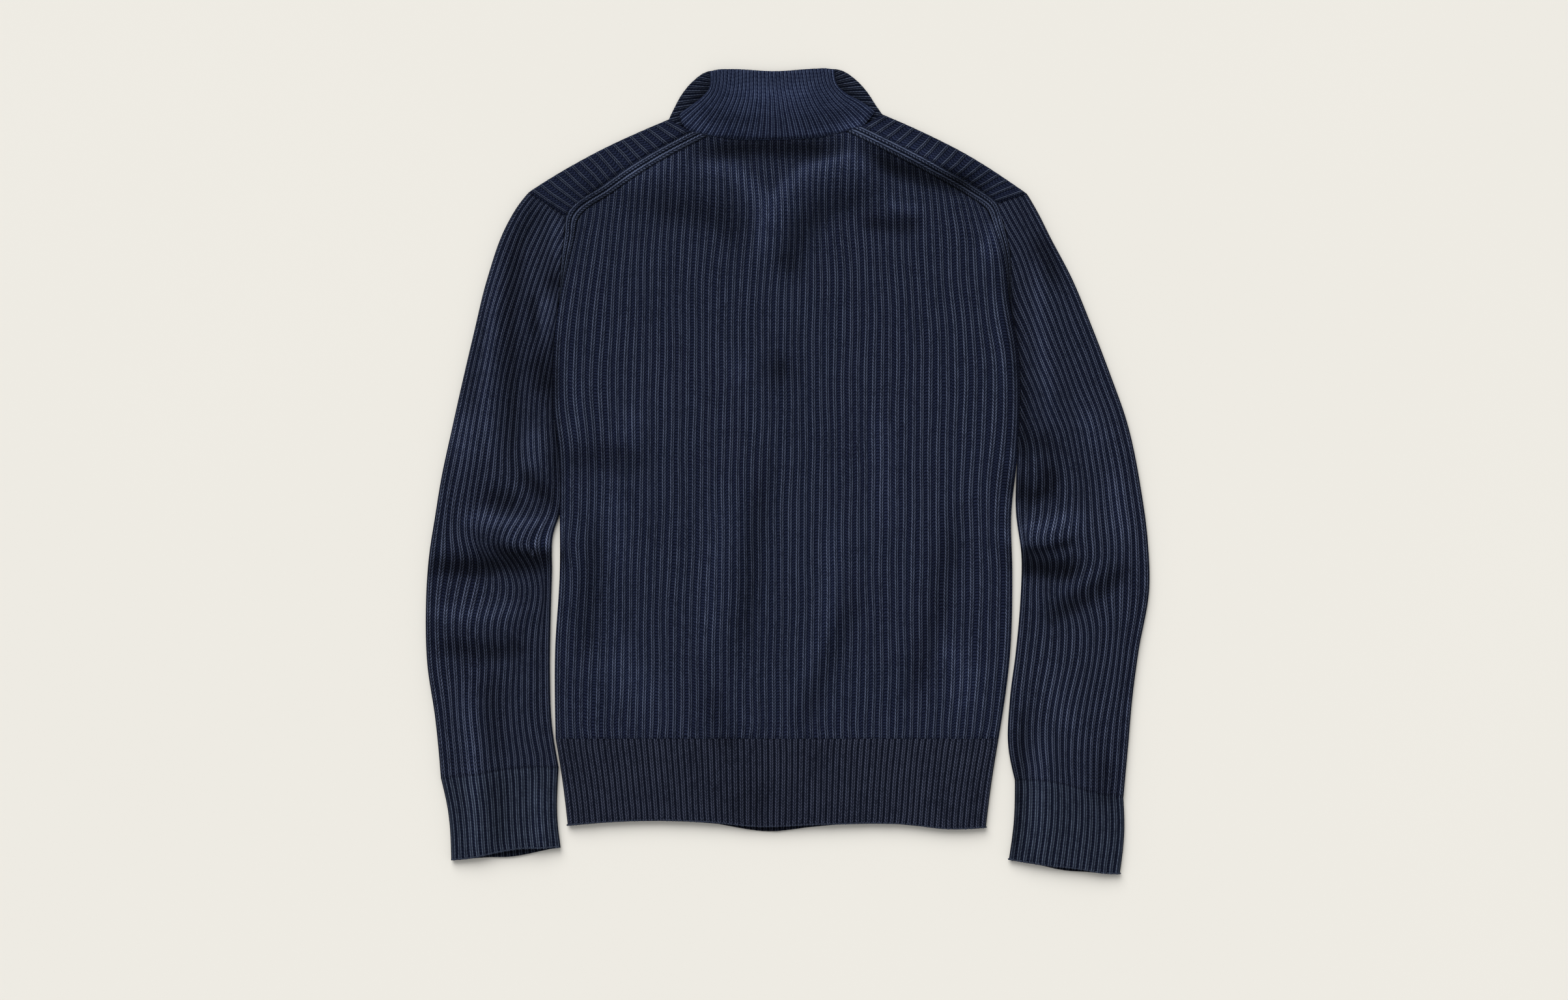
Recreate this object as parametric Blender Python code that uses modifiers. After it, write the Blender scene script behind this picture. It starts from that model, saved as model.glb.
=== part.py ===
"""Quarter-zip sweater in chunky rib knit, laid flat on its front with its back up.

The plan is cut like the garment: each piece is a patch of knit between its seams, and pieces
that share a seam share its line. Two layers lie on each other. The lower one rests flat on the
surface and the upper one carries the raised ribs. Sleeves, cuffs and hem band are flattened tubes.

Axes: X across the back, Y from the hem to the collar, Z up from the surface that it lies on.
All sizes below are in millimetres, and the meshes are made in metres.
"""

import math

import bmesh
import bpy
import numpy as np
from mathutils import Vector

MM = 0.001
GARMENT = "quarter_zip_sweater"

# Cloth
SEAM_GAP = 0.3
LOWER_WALL = 3.0
UPPER_BASE = LOWER_WALL + SEAM_GAP
VALLEY_WALL = 2.4
WIDE_RIB_LIFT = 1.5
FINE_RIB_LIFT = 1.1
SHOULDER_RIB_LIFT = 1.3
BODY_RIBS = 58
SLEEVE_RIBS = 16
SHOULDER_RIBS = 17
CUFF_RIBS = 18
HEM_RIBS = 73
COLLAR_RIBS = 34
# The share of a rib's pitch that its raised part takes. At 1 the valleys are only lines
WIDE_CREST = 0.56
SHOULDER_CREST = 0.62
FINE_CREST = 1.0
FOLD_RADIUS = 4.0
FOLD_LIP = 0.5
CAVITY_INSET = 4.2
CAVITY_MARGIN = 0.07
LOFT = 1.5
MOST_LOFT = 3.6
LOFT_FADE = 22.0
FASHION_LINE = 4.2
FASHION_BAND = 9.0

# Zip, measured from the centre front
CENTRE_X = -9.5
SLOT_HALF_WIDTH = 6.0
ZIP_FOOT = 50.0
ZIP_HEAD = 312.0
CHAIN_HALF_WIDTH = 3.2
CHAIN_BOTTOM = 3.4
CHAIN_HEIGHT = 1.8
TAPE_WIDTH = 12.0
TAPE_THICKNESS = 0.6
SLIDER_LENGTH = 12.0
SLIDER_WIDTH = 8.6
SLIDER_PLATE = 0.5
SLIDER_CORE_WIDTH = 6.0
HINGE_Z = 1.25
HINGE_SETBACK = 2.5
PIN_RADIUS = 0.4
BORE_RADIUS = 0.65
BARREL_RADIUS = 1.0
BARREL_WIDTH = 3.2
LUG_GAP = 3.8
LUG_WIDTH = 1.0
PULL_LENGTH = 27.0
PULL_WIDTH = 6.4
PULL_THICKNESS = 1.2
PULL_HOLE_RADIUS = 1.7

# Body, a row for each cross-section: left x, left y, right x, right y
BODY_SECTIONS = [
    (-227.5, -262.5, 207.5, -262.5),
    (-228.0, -176.5, 219.0, -176.5),
    (-223.5, -100.0, 221.0, -100.0),
    (-223.5, -41.5, 220.0, -41.5),
    (-224.5, 15.5, 226.0, 15.5),
    (-230.0, 61.5, 228.5, 61.5),
    (-252.0, 114.5, 227.0, 114.5),
    (-256.0, 166.0, 222.0, 166.0),
    (-232.5, 217.0, 231.0, 217.0),
    (-217.0, 250.0, 205.5, 263.0),
]
LEFT_APEX, RIGHT_APEX = 3, 4
UNDERARM_SECTION = 5

# Upper edge of the back, from the left shoulder's tip over the neck to the right tip: x, y
LEFT_SHOULDER_SEAM = [(-217.0, 250.0), (-176.5, 283.5), (-132.5, 312.5), (-94.0, 333.0)]
BACK_NECK = [(-94.0, 333.0), (-52.0, 326.0), (-8.5, 325.0), (38.0, 329.0), (73.0, 338.0)]
RIGHT_SHOULDER_SEAM = [(73.0, 338.0), (141.5, 303.5), (185.0, 278.5), (205.5, 263.0)]

# Shoulder folds, where the front wraps over, from the neck to the tip: x, y
LEFT_SHOULDER_FOLD = [(-116.5, 345.5), (-186.0, 314.0), (-233.0, 287.5), (-254.0, 274.0)]
RIGHT_SHOULDER_FOLD = [(93.5, 350.5), (131.0, 334.0), (175.5, 311.5), (235.5, 272.5)]
SHOULDER_SLANT = 0.07
# The share of the front's height at which its sides step out from the seams to the folds
TIP_SHARE = 0.93
NECKLINE_HUG = 4.0

# Sleeves, a row for each cross-section from the shoulder's tip to the wrist: outer x, outer y,
# inner x, inner y, share. The share is how much of the sleeve the seam with the body has let in
LEFT_SLEEVE = [
    (-254.0, 274.0, -217.0, 250.0, 0.37),
    (-273.5, 247.5, -232.5, 217.0, 0.39),
    (-295.0, 188.0, -256.0, 166.0, 0.42),
    (-308.0, 135.0, -252.0, 114.5, 0.52),
    (-319.0, 88.0, -230.0, 61.5, 0.78),
    (-329.5, 41.0, -224.5, 15.5, 0.90),
    (-340.0, -8.0, -223.5, -41.5, 1.0),
    (-346.0, -45.0, -230.0, -61.5, 1.0),
    (-351.5, -80.5, -231.0, -98.0, 1.0),
    (-355.0, -138.0, -232.5, -151.0, 1.0),
    (-353.5, -189.5, -233.0, -200.0, 1.0),
    (-346.0, -240.5, -231.0, -250.0, 1.0),
    (-340.0, -302.0, -224.5, -290.5, 1.0),
]
RIGHT_SLEEVE = [
    (235.5, 272.5, 205.5, 263.0, 0.26),
    (257.5, 231.5, 231.0, 217.0, 0.29),
    (279.5, 189.5, 222.0, 166.0, 0.50),
    (299.0, 142.5, 227.0, 114.5, 0.64),
    (318.0, 93.0, 228.5, 61.5, 0.80),
    (333.0, 50.5, 226.0, 15.5, 1.0),
    (347.5, -18.5, 224.5, -39.0, 1.0),
    (354.0, -68.0, 230.0, -84.0, 1.0),
    (355.5, -115.0, 229.0, -125.0, 1.0),
    (345.0, -176.5, 224.5, -176.5, 1.0),
    (339.0, -221.5, 218.5, -225.0, 1.0),
    (334.5, -272.5, 217.0, -270.0, 1.0),
    (330.0, -320.0, 223.5, -303.5, 1.0),
]
WRIST_HUG = 4.0

LEFT_WRIST = [(-340.0, -302.0), (-306.5, -298.0), (-268.0, -292.5), (-224.5, -290.5)]
RIGHT_WRIST = [(330.0, -320.0), (313.5, -319.0), (282.0, -310.5), (255.5, -305.0), (223.5, -303.5)]
LEFT_CUFF_OUTER = [(-340.0, -302.0), (-333.5, -331.5), (-330.0, -382.0)]
LEFT_CUFF_INNER = [(-224.5, -290.5), (-225.5, -345.0), (-222.5, -369.5)]
LEFT_CUFF_END = [(-330.0, -382.0), (-300.0, -380.0), (-263.0, -370.5), (-222.5, -369.5)]
RIGHT_CUFF_OUTER = [(330.0, -320.0), (331.0, -352.0), (326.5, -395.5)]
RIGHT_CUFF_INNER = [(223.5, -303.5), (222.5, -343.0), (217.5, -381.5)]
RIGHT_CUFF_END = [(326.5, -395.5), (301.5, -394.0), (262.5, -389.0), (217.5, -381.5)]
CUFF_PEEK = 2.5

HEM_LEFT = [(-227.5, -262.5), (-221.0, -302.5), (-215.5, -348.0)]
HEM_RIGHT = [(207.5, -262.5), (200.5, -306.0), (195.0, -350.0)]
HEM_END = [
    (-215.5, -348.0), (-176.5, -344.5), (-121.5, -343.0), (-69.0, -345.5), (-31.5, -349.0),
    (32.0, -347.0), (120.5, -347.0), (154.0, -351.0), (195.0, -350.0),
]
HEM_PEEK = 3.0

# Stand collar. The back's foot follows the neck seam, and its sides are soft folds: x, y
COLLAR_FOOT = [(-106.0, 351.5), (-103.0, 341.0)] + BACK_NECK + [(81.5, 347.0), (86.5, 354.0)]
COLLAR_TOP = [(-78.0, 393.5), (-55.5, 395.0), (-11.5, 393.0), (29.5, 395.65), (59.0, 391.0)]
COLLAR_LEFT = [(-106.0, 351.5), (-96.0, 358.5), (-84.5, 366.5), (-78.0, 376.5), (-78.0, 393.5)]
COLLAR_RIGHT = [(86.5, 354.0), (70.5, 364.0), (55.5, 371.0), (49.0, 379.0), (59.0, 391.0)]
LEFT_EAR = [(-79.0, 392.0), (-93.0, 384.5), (-103.0, 373.0), (-111.0, 359.0), (-116.5, 345.5)]
RIGHT_EAR = [(60.0, 390.0), (68.5, 382.5), (78.5, 371.0), (87.5, 358.5), (93.5, 350.5)]
# The front's neckline from the neck point to the centre front, and the collar front's far edge
LEFT_NECKLINE = [(-116.5, 345.5), (-97.0, 308.0), (-66.5, 276.0), (-38.0, 256.5), (-15.5, 249.5)]
RIGHT_NECKLINE = [(93.5, 350.5), (76.0, 308.0), (47.5, 276.0), (19.0, 256.5), (-3.5, 249.5)]
LEFT_FAR_EDGE = [(-78.0, 392.0), (-74.0, 370.0), (-62.0, 347.0), (-38.0, 324.0), (-15.5, 314.5)]
RIGHT_FAR_EDGE = [(59.0, 390.0), (55.0, 370.0), (43.0, 347.0), (19.0, 324.0), (-3.5, 314.5)]

# Soft folds of the upper layer: start x, start y, end x, end y, half-width, lift
SOFT_FOLDS = [
    (-40.0, 318.0, -14.0, 205.0, 13.0, 1.3),
    (22.0, 318.0, -2.0, 205.0, 12.0, 1.3),
    (96.0, 249.0, 152.0, 235.0, 9.0, -1.4),
    (100.0, 266.0, 150.0, 252.0, 9.0, 1.0),
    (-165.0, -60.0, -140.0, -215.0, 20.0, -1.2),
    (-100.0, -80.0, -112.0, -215.0, 22.0, 0.9),
    (110.0, -90.0, 128.0, -215.0, 22.0, -0.9),
    (-222.0, 161.0, -204.0, 93.0, 7.0, 1.4),
    (-230.0, 61.0, -224.0, -20.0, 7.0, -1.5),
    (214.0, 160.0, 226.0, 118.0, 7.0, 1.4),
    (228.0, 61.0, 226.0, 10.0, 7.0, -1.5),
    (-276.0, 79.0, -266.0, -20.0, 9.0, -1.6),
    (-252.0, -51.0, -230.0, -51.0, 7.0, 1.8),
    (-349.0, -66.0, -250.0, -86.0, 10.0, -1.8),
    (-340.0, -45.0, -300.0, -50.0, 12.0, 1.6),
    (276.0, 22.0, 264.0, -28.0, 8.0, 1.6),
    (230.0, -58.0, 255.0, -42.0, 8.0, 1.8),
    (228.0, -84.0, 273.0, -88.0, 7.0, -1.6),
    (320.0, -97.0, 277.0, -133.0, 11.0, -1.8),
]

KNIT_COLOUR = (0.035, 0.05, 0.1, 1.0)
FINE_KNIT_COLOUR = (0.05, 0.07, 0.13, 1.0)
TAPE_COLOUR = (0.02, 0.03, 0.06, 1.0)
METAL_COLOUR = (0.25, 0.24, 0.23, 1.0)


class Edge:
    """A seam or an outline in plan: straight runs between points, each at its share of the way."""

    def __init__(self, points, shares=None):
        self.points = np.array(points, float)
        if shares is None:
            runs = np.linalg.norm(np.diff(self.points, axis=0), axis=1)
            shares = np.concatenate([[0.0], np.cumsum(runs)]) / runs.sum()
        self.shares = np.array(shares, float)

    def at(self, share):
        """The point at a share of the way, from 0 to 1."""
        x = np.interp(share, self.shares, self.points[:, 0])
        y = np.interp(share, self.shares, self.points[:, 1])
        return np.array([x, y])

    def moved(self, distance):
        """The same edge moved sideways, to the left of its own direction."""
        runs = np.diff(self.points, axis=0)
        normals = np.stack([-runs[:, 1], runs[:, 0]], axis=1)
        normals /= np.linalg.norm(normals, axis=1)[:, None]
        before = np.vstack([normals[:1], normals])
        after = np.vstack([normals, normals[-1:]])
        mitre = before + after
        mitre /= (mitre * after).sum(axis=1)[:, None]
        return Edge(self.points + mitre * distance, self.shares)


class Patch:
    """A piece of knit in plan, between its four edges: u runs across and v runs along.

    The larger hug is, the closer to the sides their own bends stay.
    """

    def __init__(self, start, end, left, right, hug=1.0):
        self.start, self.end, self.left, self.right = start, end, left, right
        self.hug = hug

    def place(self, u, v):
        """The plan position of a point, blended from the four edges."""
        start, end = self.start, self.end
        left_bow = self.left.at(v) - ((1 - v) * start.at(0) + v * end.at(0))
        right_bow = self.right.at(v) - ((1 - v) * start.at(1) + v * end.at(1))
        along = (1 - v) * start.at(u) + v * end.at(u)
        return along + (1 - u) ** self.hug * left_bow + u**self.hug * right_bow

    def width(self, v):
        return np.linalg.norm(self.right.at(v) - self.left.at(v))

    def length(self, u):
        return np.linalg.norm(self.end.at(u) - self.start.at(u))

    def sides(self, u, v):
        """How far a point is from the left side and from the right side."""
        return u * self.width(v), (1 - u) * self.width(v)

    def inset(self, distance, v):
        """The two places across that lie this far in from the sides."""
        side = distance / self.width(v)
        return side, 1 - side


class SleevePlan:
    """A sleeve in plan. u runs across from its outer side, and v along each rib.

    The seam with the body cuts the ribs at a slant, so each rib has a beginning of its own: the
    section that holds its place in the seam.
    """

    def __init__(self, table, head, wrist):
        table = np.array(table)
        outer, inner, self.shares = table[:, :2], table[:, 2:4], table[:, 4]
        outer[0] = head[0]
        inner[: len(head) - 1] = head[1:]
        steps = np.linalg.norm(np.diff((outer + inner) / 2, axis=0), axis=1)
        self.places = np.concatenate([[0.0], np.cumsum(steps)]) / steps.sum()
        self.outer, self.inner = Edge(outer, self.places), Edge(inner, self.places)
        self.wrist = Edge(wrist)
        self.seam_sections = len(head) - 1

    def section(self, u, v):
        """How far down the sleeve a point of a rib lies, from 0 to 1."""
        seam = self.seam_sections
        begin = np.interp(u, self.shares[:seam], self.places[:seam])
        return begin + (1 - begin) * v

    def pitch(self, section):
        """The step across for a whole unit of u, at a section."""
        share = np.interp(section, self.places, self.shares)
        return (self.inner.at(section) - self.outer.at(section)) / share

    def place(self, u, v):
        """The plan position of a point."""
        section = self.section(u, v)
        straight = (1 - u) * self.wrist.at(0) + u * self.wrist.at(1)
        bend = v**WRIST_HUG * (self.wrist.at(u) - straight)
        return self.outer.at(section) + u * self.pitch(section) + bend

    def width(self, v):
        return np.linalg.norm(self.inner.at(v) - self.outer.at(v))

    def sides(self, u, v):
        """How far a point is from the outer side and from the inner side."""
        pitch = np.linalg.norm(self.pitch(self.section(u, v)))
        return u * pitch, (1 - u) * pitch

    def inset(self, distance, v):
        """The two places across that lie this far in from the sides."""
        outer_pitch = np.linalg.norm(self.pitch(self.section(0, v)))
        inner_pitch = np.linalg.norm(self.pitch(self.section(1, v)))
        return distance / outer_pitch, 1 - distance / inner_pitch


def rounded(distance):
    """How full a folded edge is at a distance from its lip, from 0 to 1."""
    reach = min(max(distance / FOLD_RADIUS, 0.0), 1.0)
    return math.sqrt(1.0 - (1.0 - reach) ** 2)


def smooth(low, high, value):
    """A soft step from 0 at low to 1 at high."""
    share = min(max((value - low) / (high - low), 0.0), 1.0)
    return share * share * (3.0 - 2.0 * share)


def rib_profile(u, count, crest_share):
    """The height of the ribs at a place across a piece, from 0 in a valley to 1 on a crest."""
    return max(0.0, 1.0 - abs((u * count) % 1.0 - 0.5) / (crest_share / 2.0))


def rib_columns(count, crest_share, nodes):
    """Places across a piece that draw its ribs, with the ends of its seams' runs kept."""
    flanks = [0.0] if crest_share >= 1.0 else [0.5 - crest_share / 2, 0.5 + crest_share / 2]
    marks = sorted(flanks + [0.5])
    ribs = [(number + mark) / count for number in range(count) for mark in marks]
    clear = 0.12 / count
    kept = [u for u in ribs if all(abs(u - node) > clear for node in nodes)]
    return sorted(kept + list(nodes))


def merged_places(kept, more, clear):
    """Two lists of places as one, without those of the second that lie close to the first."""
    return sorted(list(kept) + [p for p in more if all(abs(p - k) > clear for k in kept)])


def with_nodes(count, nodes, clear):
    """Even places from 0 to 1, and the given nodes, which win where both lie close."""
    even = [step / count for step in range(count + 1)]
    return sorted([p for p in even if all(abs(p - n) > clear for n in nodes)] + list(nodes))


def fold_lift(x, y):
    """The sum of the soft folds at a point of the plan."""
    total = 0.0
    for start_x, start_y, end_x, end_y, half_width, lift in SOFT_FOLDS:
        run_x, run_y = end_x - start_x, end_y - start_y
        share = ((x - start_x) * run_x + (y - start_y) * run_y) / (run_x**2 + run_y**2)
        share = min(max(share, 0.0), 1.0)
        away = math.hypot(x - start_x - share * run_x, y - start_y - share * run_y)
        total += lift * math.exp(-((away / half_width) ** 2))
    return total


def zip_rise(x, y):
    """How far the upper layer is lifted by the zip that lies under it."""
    beside = 1.0 - smooth(16.0, 36.0, abs(x - CENTRE_X))
    chain = 2.5 * smooth(20.0, 40.0, y) * (1.0 - smooth(330.0, 352.0, y))
    slider = 1.2 * smooth(275.0, 292.0, y) * (1.0 - smooth(322.0, 345.0, y))
    return beside * (chain + slider)


def inner_height(x, y, fade):
    """The underside of the upper layer over a point of the plan."""
    loft = min(max(LOFT + fold_lift(x, y), 0.0), MOST_LOFT)
    return UPPER_BASE + max(loft * fade, zip_rise(x, y))


def material(name, colour, roughness, metallic=0.0):
    """A plain finish of one colour."""
    finish = bpy.data.materials.new(name)
    finish.use_nodes = True
    shader = finish.node_tree.nodes["Principled BSDF"]
    shader.inputs["Base Color"].default_value = colour
    shader.inputs["Roughness"].default_value = roughness
    shader.inputs["Metallic"].default_value = metallic
    finish.diffuse_color = colour
    return finish


def new_object(name, points, faces, finish, collection):
    """A mesh object from points in millimetres, with its faces turned outwards."""
    mesh = bpy.data.meshes.new(name)
    mesh.from_pydata([tuple(np.array(point) * MM) for point in points], [], faces)
    body = bmesh.new()
    body.from_mesh(mesh)
    bmesh.ops.recalc_face_normals(body, faces=body.faces)
    body.to_mesh(mesh)
    body.free()
    mesh.materials.append(finish)
    mesh.shade_smooth()
    mesh.set_sharp_from_angle(angle=math.radians(50))
    made = bpy.data.objects.new(name, mesh)
    collection.objects.link(made)
    return made


def stitch(faces, first, first_keys, second, second_keys):
    """Fills the strip between two rows of points, always stepping along the row that lags."""
    i = j = 0
    while i < len(first) - 1 or j < len(second) - 1:
        can_step_first = i < len(first) - 1
        can_step_second = j < len(second) - 1
        if can_step_first and (not can_step_second or first_keys[i + 1] <= second_keys[j + 1]):
            faces.append((first[i], first[i + 1], second[j]))
            i += 1
        else:
            faces.append((first[i], second[j + 1], second[j]))
            j += 1


def sheet_faces(faces, rows):
    """The faces of a grid of point numbers."""
    for near, far in zip(rows, rows[1:]):
        for a, b, c, d in zip(near, near[1:], far[1:], far):
            faces.append((a, b, c, d))


def numbered(points, sheet):
    """Adds a grid of points and returns the grid of their numbers."""
    grid = []
    for row in sheet:
        grid.append(list(range(len(points), len(points) + len(row))))
        points.extend(row)
    return grid


def wall_panel(name, outer, outer_keys, inner, inner_keys, finish, collection):
    """A closed wall between an outer grid and a coarser inner one with the same rows."""
    points, faces = [], []
    outer_rows, inner_rows = numbered(points, outer), numbered(points, inner)
    sheet_faces(faces, outer_rows)
    sheet_faces(faces, inner_rows)
    for side in (0, -1):
        sheet_faces(faces, [[o[side], i[side]] for o, i in zip(outer_rows, inner_rows)])
    for end in (0, -1):
        stitch(faces, outer_rows[end], outer_keys, inner_rows[end], inner_keys)
    return new_object(name, points, faces, finish, collection)


def wall_tube(name, outer, outer_keys, inner, inner_keys, finish, collection):
    """A closed wall between an outer tube and a coarser inner one, open at both ends."""
    points, faces = [], []
    outer_rows = [row + row[:1] for row in numbered(points, outer)]
    inner_rows = [row + row[:1] for row in numbered(points, inner)]
    sheet_faces(faces, outer_rows)
    sheet_faces(faces, inner_rows)
    for end in (0, -1):
        stitch(
            faces,
            outer_rows[end],
            outer_keys + [outer_keys[0] + 2.0],
            inner_rows[end],
            inner_keys + [inner_keys[0] + 2.0],
        )
    return new_object(name, points, faces, finish, collection)


class Knit:
    """How a piece is knitted: its ribs across, their lift, and which of its edges are folds."""

    def __init__(self, ribs, lift, crest_share, folded=(), fold_end=1.0):
        self.ribs, self.lift, self.crest_share = ribs, lift, crest_share
        self.folded, self.fold_end = folded, fold_end

    def fullness(self, patch, u, v):
        """How full the wall is at a point: 0 at the lip of a folded edge and 1 away from it."""
        full = 1.0
        side_folds = 1.0 - smooth(self.fold_end - 0.04, self.fold_end + 0.04, v)
        from_left, from_right = patch.sides(u, v)
        if "left" in self.folded:
            full *= 1.0 - side_folds * (1.0 - rounded(from_left))
        if "right" in self.folded:
            full *= 1.0 - side_folds * (1.0 - rounded(from_right))
        if "start" in self.folded:
            full *= rounded(v * patch.length(u))
        if "end" in self.folded:
            full *= rounded((1.0 - v) * patch.length(u))
        return full

    def fade(self, patch, u, v):
        """How much of the loft a point has: none at a folded edge."""
        share = 1.0
        side_folds = 1.0 - smooth(self.fold_end - 0.04, self.fold_end + 0.04, v)
        from_left, from_right = patch.sides(u, v)
        if "left" in self.folded:
            share *= 1.0 - side_folds * (1.0 - smooth(0.0, LOFT_FADE, from_left))
        if "right" in self.folded:
            share *= 1.0 - side_folds * (1.0 - smooth(0.0, LOFT_FADE, from_right))
        if "start" in self.folded:
            share *= smooth(0.0, LOFT_FADE, v * patch.length(u))
        if "end" in self.folded:
            share *= smooth(0.0, LOFT_FADE, (1.0 - v) * patch.length(u))
        return share

    def rib(self, u, v):
        return self.lift * rib_profile(u, self.ribs, self.crest_share)

    def upper(self, patch, u, v):
        """A point of the upper layer's ribbed outer face."""
        x, y = patch.place(u, v)
        base = inner_height(x, y, self.fade(patch, u, v))
        body = VALLEY_WALL + self.rib(u, v) - FOLD_LIP
        return (x, y, base + FOLD_LIP + body * self.fullness(patch, u, v))

    def upper_inside(self, patch, u, v):
        """A point of the upper layer's plain inside."""
        x, y = patch.place(u, v)
        return (x, y, inner_height(x, y, self.fade(patch, u, v)))

    def underside(self, patch, u, v):
        """A point of the lower layer's plain underside, flat where it rests."""
        x, y = patch.place(u, v)
        lip = LOWER_WALL - FOLD_LIP
        return (x, y, lip * (1.0 - self.fullness(patch, u, v)))


def fold_columns(patch, folded):
    """Extra places across a piece that round its folded sides."""
    middle = patch.width(0.5)
    near, far = 1.0 / middle, FOLD_RADIUS / middle
    extra = [0.0, 1.0]
    if "left" in folded:
        extra += [near, far]
    if "right" in folded:
        extra += [1.0 - near, 1.0 - far]
    return extra


def fold_rows(patch, folded):
    """Extra places along a piece that round its folded ends."""
    middle = patch.length(0.5)
    near, far = 1.0 / middle, FOLD_RADIUS / middle
    extra = [0.0, 1.0]
    if "start" in folded:
        extra += [near, far]
    if "end" in folded:
        extra += [1.0 - near, 1.0 - far]
    return extra


def inside_columns(nodes, count):
    return with_nodes(count, nodes, 0.4 / count)


def grid(point_at, patch, columns, rows):
    return [[point_at(patch, u, v) for u in columns] for v in rows]


def upper_panel(name, patch, knit, rows, nodes, inner_count, finish, collection):
    """A panel of the upper layer: ribs on its outer points over a plain inside."""
    ends = fold_columns(patch, knit.folded)
    outer_u = rib_columns(knit.ribs, knit.crest_share, sorted(set(ends + list(nodes))))
    inner_u = inside_columns(sorted(set([0.0, 1.0] + list(nodes))), inner_count)
    outer = grid(knit.upper, patch, outer_u, rows)
    inner = grid(knit.upper_inside, patch, inner_u, rows)
    return wall_panel(name, outer, outer_u, inner, inner_u, finish, collection)


def flat_tube(name, patch, knit, rows, nodes, inner_count, peek, finish, collection):
    """A flattened tube: ribbed above, plain and flat below, with a thin space inside.

    peek is how far the lower layer reaches past the upper one at the middle of its end.
    """
    ends = fold_columns(patch, knit.folded)
    top_u = rib_columns(knit.ribs, knit.crest_share, sorted(set(ends + list(nodes))))
    low_u = inside_columns(sorted(set(ends + list(nodes))), inner_count)
    bottom_u = list(reversed(low_u[1:-1]))
    space_keys = [0.0] + [u for u in low_u if CAVITY_MARGIN < u < 1.0 - CAVITY_MARGIN] + [1.0]

    def peeked(point, u, v):
        x, y, z = point
        return (x, y - peek * math.sin(math.pi * u) * smooth(0.6, 1.0, v), z)

    outer, inner = [], []
    for v in rows:
        top = [knit.upper(patch, u, v) for u in top_u]
        low = [peeked(knit.underside(patch, u, v), u, v) for u in bottom_u]
        outer.append(top + low)
        first, last = patch.inset(CAVITY_INSET, v)
        space_u = [first] + space_keys[1:-1] + [last]
        ceiling = [knit.upper_inside(patch, u, v) for u in space_u]
        floor = []
        for u in reversed(space_u):
            x, y = patch.place(u, v)
            floor.append(peeked((x, y, LOWER_WALL), u, v))
        inner.append(ceiling + floor)
    outer_keys = top_u + [2.0 - u for u in bottom_u]
    inner_keys = space_keys + [2.0 - u for u in reversed(space_keys)]
    return wall_tube(name, outer, outer_keys, inner, inner_keys, finish, collection)


def body_edges():
    """The body's two side edges, as sections that share their places along it."""
    table = np.array(BODY_SECTIONS)
    heights = (table[:, 1] + table[:, 3]) / 2
    shares = (heights - heights[0]) / (heights[-1] - heights[0])
    return Edge(table[:, :2], shares), Edge(table[:, 2:], shares)


def back_patch():
    """The back's plan, with its upper edge shared out by x so that the ribs stay upright."""
    left, right = body_edges()
    top = LEFT_SHOULDER_SEAM + BACK_NECK[1:] + RIGHT_SHOULDER_SEAM[1:]
    first, last = top[0][0], top[-1][0]
    shares = [(x - first) / (last - first) for x, _ in top]
    hem = Edge([BODY_SECTIONS[0][:2], BODY_SECTIONS[0][2:]])
    return Patch(hem, Edge(top, shares), left, right)


class BackKnit(Knit):
    """The back's ribs, which end at a raised line that runs along each shoulder seam."""

    def __init__(self, ribs, patch, **options):
        super().__init__(ribs, WIDE_RIB_LIFT, WIDE_CREST, **options)
        self.patch = patch
        self.neck = (patch.end.shares[3], patch.end.shares[7])

    def rib(self, u, v):
        plain = super().rib(u, v)
        away = (1.0 - v) * self.patch.length(u)
        if self.neck[0] < u < self.neck[1] or away > FASHION_BAND:
            return plain
        line = max(0.0, 1.0 - abs(away - FASHION_LINE) / FASHION_LINE)
        return self.lift * line


def make_back(finish, collection):
    patch = back_patch()
    fold_end = patch.left.shares[UNDERARM_SECTION]
    knit = BackKnit(BODY_RIBS, patch, folded=("left", "right"), fold_end=fold_end)
    tall = patch.length(0.5)
    rows = list(patch.left.shares[:-1])
    rows += [1.0 - FASHION_BAND / tall, 1.0 - FASHION_LINE / tall, 1.0]
    nodes = list(patch.end.shares)
    return upper_panel("back_panel", patch, knit, rows, nodes, 24, finish, collection)


def front_patch():
    """The front's plan: the body's sides, the ends and folds of the shoulders, and the neckline."""
    left, right = body_edges()
    reach = left.shares[-1]
    shares = list(left.shares * TIP_SHARE / reach) + [1.0]
    left = Edge(list(left.points) + [LEFT_SHOULDER_FOLD[-1]], shares)
    right = Edge(list(right.points) + [RIGHT_SHOULDER_FOLD[-1]], shares)
    top = LEFT_SHOULDER_FOLD[::-1] + LEFT_NECKLINE[1:] + RIGHT_NECKLINE[::-1]
    top += RIGHT_SHOULDER_FOLD[1:]
    first, last = top[0][0], top[-1][0]
    return Patch(
        Edge([BODY_SECTIONS[0][:2], BODY_SECTIONS[0][2:]]),
        Edge(top, [(x - first) / (last - first) for x, _ in top]),
        left,
        right,
        hug=NECKLINE_HUG,
    )


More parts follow.
